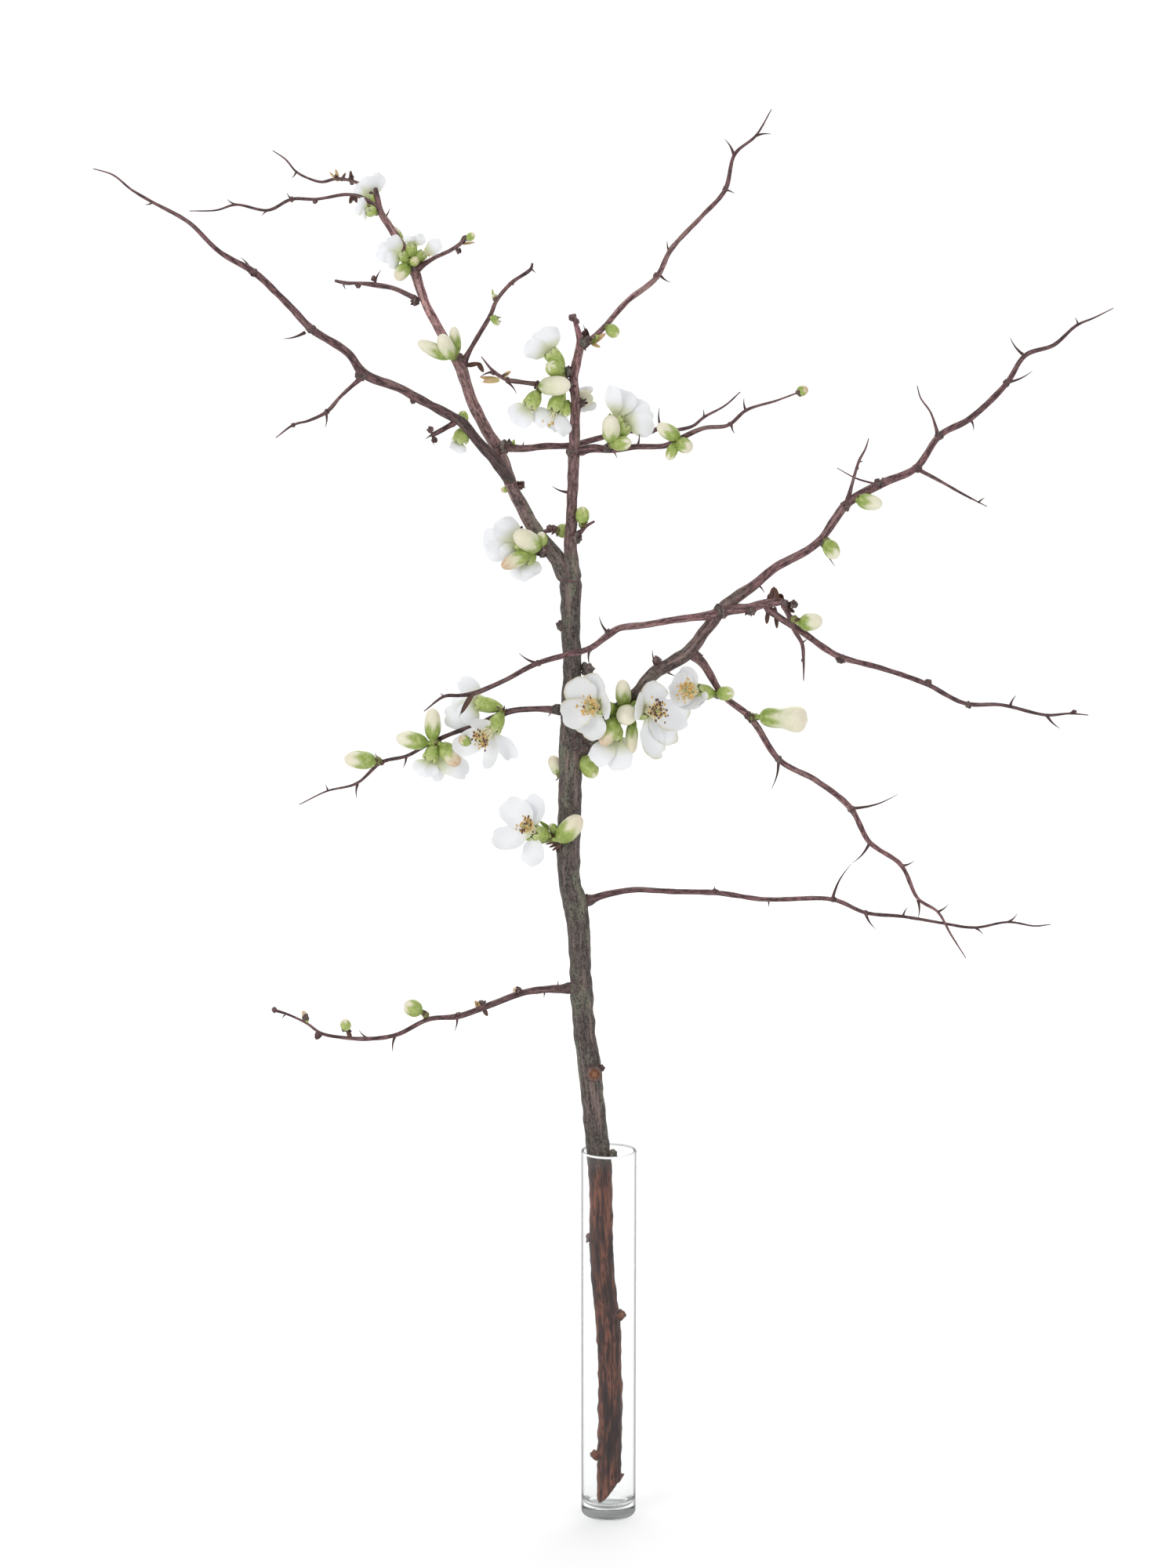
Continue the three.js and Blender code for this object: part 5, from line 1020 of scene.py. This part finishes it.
# For each limb: foot x, y and tip x, y on the sheet, width in mm, what it is, and how far
# behind the middle of the limb it stands.
GROWTHS = dict(
    trunk=[(716, 1074, 700, 1081, 2.8, "scale", -6), (716, 1077, 704, 1085, 2.6, "scale", -8),
        (714, 1072, 695, 1077, 2.4, "scale", -7), (717, 1078, 709, 1087, 2.4, "scale", -4),
        (703, 1066, 668, 1071, 4.6, "leaf", -9), (706, 1069, 676, 1077, 4.2, "leaf", -6),
        (702, 1058, 688, 1047, 3.4, "leaf", -4), (709, 1059, 704, 1051, 3, "leaf", -8)],
    branch_right=[(797, 906, 772, 896, 5, "leaf", -8), (795, 908, 769, 918, 5, "leaf", -10),
        (799, 909, 812, 926, 5, "leaf", -8), (798, 910, 788, 926, 4.6, "leaf", -6),
        (801, 907, 811, 893, 4, "leaf", -8)],
    twig_top_right=[(596, 306, 604, 298, 4.6, "green bud", -4), (590, 311, 606, 309, 1.8, "dry leaf"),
        (588, 311, 592, 300, 2.6, "scale"), (590, 310, 595, 302, 2.6, "scale", -2)],
    twig_mid_right=[(634, 386, 630, 375, 3.6, "green bud"), (629, 379, 628, 368, 1.6, "leaf"),
        (626, 402, 636, 414, 4.2, "green bud"), (627, 404, 640, 405, 1.6, "leaf"),
        (624, 406, 628, 397, 3.6, "scale", -1), (626, 408, 633, 402, 3, "scale", -1)],
    twig_bloom_left=[(637, 484, 615, 487, 4, "dry leaf", -1), (636, 484, 612, 481, 3.4, "dry leaf", 1),
        (640, 481, 652, 473, 3, "dry leaf")],
    leader_left=[(648, 624, 640, 625, 3.8, "dry bud"), (664, 622, 660, 613, 3, "scale"),
        (664, 622, 668, 613, 2.6, "scale"), (664, 682, 650, 671, 6, "leaf"),
        (646, 576, 650, 559, 3.4, "scale"), (652, 576, 656, 560, 3.4, "leaf"),
        (596, 466, 613, 463, 3.4, "scale"), (610, 463, 617, 475, 3.6, "scale")],
    ne_branch=[(738, 437, 749, 431, 4.6, "leaf"), (744, 437, 758, 431, 4.4, "leaf"),
        (745, 440, 738, 429, 4.2, "leaf"), (750, 438, 747, 418, 4.2, "scale"),
        (750, 437, 764, 427, 4.6, "leaf"), (753, 438, 773, 425, 4.2, "dry leaf"),
        (755, 438, 766, 443, 2.6, "dry leaf")],
    leader_right=[(729, 514, 716, 529, 5.4, "leaf"), (727, 512, 713, 520, 4.6, "leaf")],
    twig_b=[(432, 231, 428, 215, 2.6, "dry leaf"), (435, 231, 441, 220, 2.4, "scale"),
        (431, 231, 420, 219, 2, "dry leaf"), (449, 236, 447, 217, 3.4, "scale")],
    twig_a=[(450, 249, 446, 260, 3.2, "scale"), (453, 250, 455, 259, 2.6, "scale")],
    branch_low_left=[(392, 1304, 387, 1290, 3.6, "dry bud"), (443, 1314, 439, 1301, 6.2, "green bud", -6),
        (447, 1324, 442, 1309, 3.6, "scale", -4), (408, 1317, 403, 1326, 5, "scale"),
        (612, 1287, 606, 1276, 4, "dry leaf"), (617, 1287, 622, 1296, 3.2, "scale"),
        (665, 1270, 656, 1261, 4.6, "dry bud")],
    twig_right=[(1017, 501, 1029, 496, 6, "dry bud")],
    stub=[(979, 783, 978, 796, 3.4, "scale"), (988, 768, 987, 748, 7, "scale", -2),
        (993, 768, 997, 757, 6, "scale"), (984, 768, 981, 757, 5, "scale"),
        (990, 781, 991, 802, 3.4, "scale"), (1000, 773, 1017, 768, 3.6, "scale"),
        (1002, 774, 1014, 781, 3.4, "scale")],
    cross_left=[(604, 884, 588, 911, 3, "scale", -3)],
    branch_mid_left=[(600, 948, 587, 942, 6.4, "dry bud", -14)],
)


def add_growth(shape, limb, number, x0, y0, x1, y1, width, kind, behind=0):
    depth = depth_on(limb, x0, y0) + behind
    foot, tip = at(x0, y0, depth), at(x1, y1, depth)
    dry = float("dry" in kind)
    if "bud" in kind:
        add_bud(shape, foot, foot, tip, width, number, *((0.5, 1.0) if dry else (0.3, 0.1)))
        return
    lean = unit(-Y_AXIS + 0.5 * unit(np.cross(tip - foot, Y_AXIS)))
    blade, faces, u_all = leaflet(foot, tip, width, lean, thick=0.45, cup=0.22)
    if kind == "scale":
        shape.add(blade, faces, dry=1.0)
    else:
        shape.add(blade, faces, ripe=0.3 + 0.5 * u_all, tan=dry * (0.55 + 0.45 * u_all))


def growths_shape():
    shape = Shape()
    for limb, growths in GROWTHS.items():
        for number, growth in enumerate(growths):
            add_growth(shape, limb, number, *growth)
    return shape


# ---------------------------------------------------------------- materials


def shade(red, green, blue):
    """A screen colour, 0 to 255, as the light it stands for."""
    def light(value):
        part = value / 255
        return part / 12.92 if part <= 0.04045 else ((part + 0.055) / 1.055) ** 2.4
    return (light(red), light(green), light(blue), 1.0)


def grey(value):
    return (value, value, value, 1.0)


class Surface:
    """A node material built around a Principled shader. Its methods give a new node's output."""

    def __init__(self, name):
        self.material = bpy.data.materials.new(name)
        self.material.use_nodes = True
        self.tree = self.material.node_tree
        self.shader = self.tree.nodes["Principled BSDF"]

    def fill(self, node, inputs):
        """Fills inputs of a node with numbers, colours or outputs of other nodes."""
        for name, value in inputs.items():
            if isinstance(value, bpy.types.NodeSocket):
                self.tree.links.new(value, node.inputs[name])
            else:
                node.inputs[name].default_value = value

    def principled(self, **inputs):
        self.fill(self.shader, {name.replace("_", " "): value for name, value in inputs.items()})

    def shown_as(self, shader):
        self.fill(self.tree.nodes["Material Output"], {"Surface": shader})

    def add(self, kind, inputs, output=0, **settings):
        node = self.tree.nodes.new(f"ShaderNode{kind}")
        for name, value in settings.items():
            setattr(node, name, value)
        self.fill(node, inputs)
        return node.outputs[output]

    def tone(self, name):
        return self.add("Attribute", {}, "Fac", attribute_name=name)

    def noise(self, place, scale, detail, rough=0.5):
        return self.add("TexNoise", {"Vector": place, "Scale": scale, "Detail": detail,
                                     "Roughness": rough}, "Fac")

    def mottle(self, scale):
        """A patchy value laid out in the object's own metres."""
        return self.noise(self.add("TexCoord", {}, "Object"), scale, 3.0)

    def step(self, value, low, high):
        """A value carried to 0 below low and 1 above high, smoothly."""
        return self.add("MapRange", {"Value": value, "From Min": low, "From Max": high},
                        "Result", interpolation_type="SMOOTHSTEP")

    def maths(self, operation, first, second):
        return self.add("Math", {0: first, 1: second}, operation=operation)

    def times(self, first, second):
        return self.maths("MULTIPLY", first, second)

    def mix(self, factor, first, second, mode="MIX"):
        return self.add("Mix", {0: factor, 6: first, 7: second}, 2, data_type="RGBA",
                        blend_type=mode)

    def mix_shaders(self, factor, first, second):
        return self.add("MixShader", {0: factor, 1: first, 2: second})

    def covered(self, colour, *layers):
        """A colour under layers of others, each with the factor it is mixed in by."""
        for factor, over in layers:
            colour = self.mix(factor, colour, over)
        return colour


def bark_material():
    s = Surface("bark")
    place = s.add("CombineXYZ", {axis: s.tone(f"bark_{axis.lower()}") for axis in "XYZ"})

    def drawn_out(scale, detail, squeeze, rough=0.55):
        """Noise on the bark, drawn out along the limb."""
        stretched = s.add("VectorMath", {0: place, 1: (scale, scale, scale * squeeze)},
                          operation="MULTIPLY")
        return s.noise(stretched, 1.0, detail, rough)

    thick = s.step(s.tone("girth"), 2.2, 5.4)
    fibres = drawn_out(0.62, 6, 0.3, 0.75)
    streaks = drawn_out(0.34, 4, 0.09, 0.65)
    patches = drawn_out(0.1, 4, 0.5)
    specks = drawn_out(0.9, 3, 0.8)
    grain = drawn_out(0.8, 5, 0.75, 0.8)
    thin_bark = s.mix(s.step(fibres, 0.4, 0.62), shade(48, 27, 30), shade(124, 88, 90))
    thick_bark = s.mix(s.step(s.mix(0.6, fibres, grain), 0.42, 0.6), shade(38, 32, 30),
                       shade(102, 91, 85))
    colour = s.covered(thin_bark, (thick, thick_bark),
                       (s.times(s.step(streaks, 0.52, 0.66), 0.45), shade(150, 126, 120)))
    colour = s.mix(1.0, colour, s.maths("ADD", s.tone("pale"), 1.0), "MULTIPLY")
    mossy = s.times(s.step(patches, 0.52, 0.64), s.step(specks, 0.44, 0.6))
    in_vase = s.covered(shade(30, 13, 13), (s.step(streaks, 0.4, 0.62), shade(124, 74, 56)),
                        (s.step(fibres, 0.48, 0.6), shade(48, 22, 21)))
    colour = s.covered(colour, (s.times(mossy, s.times(thick, 0.8)), shade(122, 130, 106)),
                       (s.times(s.step(specks, 0.6, 0.66), 0.75), shade(38, 29, 29)),
                       (s.tone("low_part"), in_vase), (s.tone("spine"), shade(66, 44, 42)),
                       (s.tone("scar"), shade(130, 86, 62)), (s.tone("cut"), shade(112, 58, 46)))
    bumps = s.add("Bump", {"Height": s.mix(0.4, fibres, specks), "Strength": 0.45,
                           "Distance": 0.0005})
    s.principled(Base_Color=colour, Roughness=0.58, Specular_IOR_Level=0.4, Normal=bumps)
    return s.material


def green_material():
    s = Surface("green")
    blotches, flecks = s.mottle(300.0), s.mottle(1100.0)
    green = s.mix(s.tone("ripe"), shade(104, 132, 44), shade(174, 190, 104))
    colour = s.covered(
        green, (s.times(s.step(blotches, 0.42, 0.7), 0.6), shade(190, 200, 128)),
        (s.times(s.step(flecks, 0.55, 0.66), 0.6), shade(92, 96, 40)),
        (s.tone("cream"), s.mix(blotches, shade(222, 220, 190), shade(242, 234, 222))),
        (s.tone("tan"), s.mix(flecks, shade(160, 112, 74), shade(222, 190, 150))),
        (s.tone("dry"), shade(84, 56, 44)))
    s.principled(Base_Color=colour, Roughness=0.42, Specular_IOR_Level=0.4)
    return s.material


def petal_material():
    s = Surface("petal")
    edge = s.times(s.tone("rim"), s.step(s.mottle(90.0), 0.4, 0.62))
    colour = s.covered(shade(247, 248, 250), (s.tone("heart"), shade(224, 228, 184)),
                       (s.times(edge, 0.75), shade(206, 198, 158)))
    s.principled(Base_Color=colour, Roughness=0.55, Specular_IOR_Level=0.3)
    through = s.add("BsdfTranslucent", {"Color": colour})
    s.shown_as(s.mix_shaders(0.28, s.shader.outputs[0], through))
    return s.material


def stamen_material():
    s = Surface("stamen")
    colour = s.covered(shade(242, 238, 204), (s.tone("style"), shade(210, 212, 140)),
                       (s.tone("head"), shade(212, 174, 104)), (s.tone("dark"), shade(98, 58, 40)))
    s.principled(Base_Color=colour, Roughness=0.6)
    return s.material


# The glass's dark colour is painted shade for its edges, and its white one is the colour of a painted
# highlight on its lip; the last two pairs say where each comes in.
GLASS = Sizes(ior=1.4, body=(0.965, 0.975, 0.972, 1), dark=(0.08, 0.085, 0.085, 1),
              shadow=(0.93, 0.94, 0.94, 1), gloss=(0.5, 0.3), milk=0.97, lit=0.9,
              edge=(0.53, 0.72), front=(0.8, 0.45))    # how far a face is turned away, 0 to 1


def glass_material():
    """Clear glass with painted shade and a painted highlight: the outer skin is coloured dark where it
    turns away from view, standing in for the dark edges a glass cylinder shows, and a white diffuse band
    is painted on the front of the lip.
    """
    s = Surface("clear glass")
    edge = s.add("LayerWeight", {"Blend": 0.5}, "Facing")
    outer = s.tone("outer")
    # painted shade: the outer skin is coloured dark where it turns away from view, in place of the dark
    # reflections at the glass's edges
    colour = s.mix(s.times(outer, s.step(edge, *GLASS.edge)), GLASS.body, GLASS.dark)
    gloss = s.mix(outer, *map(grey, GLASS.gloss))
    s.principled(Base_Color=colour, Roughness=0.0, IOR=GLASS.ior, Specular_Tint=gloss,
                 Transmission_Weight=1.0)
    # painted highlight: a white diffuse band on the front of the lip, where it faces the view
    painted_lip_highlight = s.times(s.tone("lip"), s.times(s.step(edge, *GLASS.front), GLASS.lit))
    painted_highlight_shader = s.add("BsdfDiffuse", {"Color": grey(GLASS.milk)})
    glass = s.mix_shaders(painted_lip_highlight, s.shader.outputs[0], painted_highlight_shader)
    shadow = s.add("BsdfTransparent", {"Color": GLASS.shadow})
    s.shown_as(s.mix_shaders(s.add("LightPath", {}, "Is Shadow Ray"), glass, shadow))
    return s.material


# ---------------------------------------------------------------- the vase

# One of these sizes, after the lip's, is how far down from the top the painted highlight on the lip
# reaches, and where a ring of the profile stands, mm.
VASE = Sizes(wall=2.0, floor=6.9, heel=3.0, bowl=8.5, lip=0.9, bright=1.5, sides=144, arc=8,
             belts=(0.2, 0.5, 0.8))


def arc(centre, radius, start, end, count=VASE.arc):
    """Points on part of a circle in the vase's profile, angles in degrees."""
    return [(centre[0] + radius * math.cos(math.radians(angle)),
             centre[1] + radius * math.sin(math.radians(angle)))
            for angle in np.linspace(start, end, count)]


def vase_shape():
    radius, _, height = np.array(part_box("vase")[1]) / MM
    inner, lip, heel, bowl = radius - VASE.wall, VASE.lip, VASE.heel, VASE.bowl
    outside = arc((radius - heel, heel), heel, -90, 0)
    outside += [(radius, height * part) for part in VASE.belts] + [(radius, height - VASE.bright)]
    outside += arc((radius - lip, height - lip), lip, 0, 90)[:-1]
    inside = arc((inner + lip, height - lip), lip, 90, 180) + [(inner, height - VASE.bright)]
    inside += [(inner, height * part) for part in VASE.belts[::-1]]
    inside += arc((inner - bowl, VASE.floor + bowl), bowl, 0, -90, 2 * VASE.arc)
    rings = [[(r * math.cos(a), r * math.sin(a), z) for a in turns(VASE.sides)]
             for r, z in outside + inside]
    points = np.concatenate([np.array(rings).reshape(-1, 3), [[0, 0, 0], [0, 0, VASE.floor]]])
    outer = np.repeat([1.0, 0.0], [len(outside) * VASE.sides, len(inside) * VASE.sides])
    shape = Shape()
    # lip marks the band at the top of the rim that takes the painted highlight
    shape.add(points, skin_faces(len(rings), VASE.sides), outer=np.append(outer, [1.0, 0.0]),
              lip=smooth(height - VASE.bright, height - VASE.lip, points[:, 2]))
    return shape


# ---------------------------------------------------------------- the studio

CAMERA = Sizes(down=9.7, lens=84, sensor=36, clip=(0.05, 50))
STUDIO = Sizes(half=9.0, bend=1.2, back=2.6, wall=5.0, bend_steps=12)       # metres
WORLD_LIGHT = 0.7
MIDDLE = (0, 0, 0.45)
LIGHTS = [      # name, place, what it points at, size, power
    ("key", (-1.9, -2.1, 1.5), MIDDLE, (1.4, 1.4), 26),
    ("fill", (2.1, -1.9, 1.0), MIDDLE, (1.4, 1.4), 11),
    ("back", (0.6, 2.0, 1.6), MIDDLE, (1.8, 1.2), 12),
    ("backdrop", (0, 1.1, 3.2), (0, 3.6, 0.6), (3.0, 1.0), 48),
]


def camera():
    view = bpy.data.cameras.new("camera")
    view.lens, view.sensor_width = CAMERA.lens, CAMERA.sensor
    view.clip_start, view.clip_end = CAMERA.clip
    item = linked(bpy.data.objects.new("camera", view))
    item.location = (STANDPOINT * MM).tolist()
    item.rotation_euler = (math.radians(90 - CAMERA.down), 0, 0)
    bpy.context.scene.camera = item


def studio_floor():
    """A pale paper floor that bends up into a wall behind the object."""
    back, bend = STUDIO.back, STUDIO.bend
    profile = [(-STUDIO.half, 0.0), (back, 0.0)]
    profile += [(back + bend * math.sin(a), bend * (1 - math.cos(a)))
                for a in np.linspace(0, math.pi / 2, STUDIO.bend_steps + 1)[1:]]
    profile.append((back + bend, STUDIO.wall))
    points = [(x, y, z) for y, z in profile for x in (-STUDIO.half, STUDIO.half)]
    faces = [(2 * k, 2 * k + 1, 2 * k + 3, 2 * k + 2) for k in range(len(profile) - 1)]
    mesh = bpy.data.meshes.new("floor")
    mesh.from_pydata(points, [], faces)
    mesh.shade_smooth()
    paper = Surface("pale paper")
    paper.principled(Base_Color=grey(0.93), Roughness=0.9, Specular_IOR_Level=0.1)
    mesh.materials.append(paper.material)
    item = linked(bpy.data.objects.new("floor", mesh))


def soft_light(name, place, target, size, power):
    lamp = bpy.data.lights.new(name, "AREA")
    lamp.shape = "RECTANGLE"
    lamp.size, lamp.size_y = size
    lamp.energy = power
    item = linked(bpy.data.objects.new(name, lamp))
    item.location = place
    item.rotation_euler = (Vector(place) - Vector(target)).to_track_quat("Z", "Y").to_euler()


def studio():
    studio_floor()
    world = bpy.data.worlds.new("studio")
    world.use_nodes = True
    sky = world.node_tree.nodes["Background"]
    sky.inputs["Color"].default_value = grey(1)
    sky.inputs["Strength"].default_value = WORLD_LIGHT
    bpy.context.scene.world = world
    for light in LIGHTS:
        soft_light(*light)
    bpy.context.scene.view_settings.view_transform = "Standard"


# ---------------------------------------------------------------- assembly

for limb in LIMBS:
    lay_out(limb)

bark, green, white, yellow = bark_material(), green_material(), petal_material(), stamen_material()
shown("glass_vase", vase_shape().mesh("glass_vase"), glass_material(), "glass", "vase")
shown("branch_wood", wood_mesh(), bark, "bark", "wood")
shown("node_scales", scales_shape().mesh("node_scales"), bark, "bark")
shown("twig_growths", growths_shape().mesh("twig_growths"), green, "green")
for number, cluster in enumerate(CLUSTERS):
    name = f"greens_{cluster.name}"
    shown(f"shown_{name}", greens_shape(cluster, number).mesh(name), green, "green", name)
    for k, bloom in enumerate(cluster.blooms):
        seed = 10 * number + k
        name = f"petals_bloom_{bloom.name}"
        shown(f"shown_{name}", petals_shape(cluster, bloom, seed).mesh(name), white, "petal", name)
        name = f"stamens_bloom_{bloom.name}"
        shown(f"shown_{name}", stamens_shape(cluster, bloom, seed).mesh(name), yellow, "stamen",
              *([name] if bloom.heads else []))

studio()
camera()
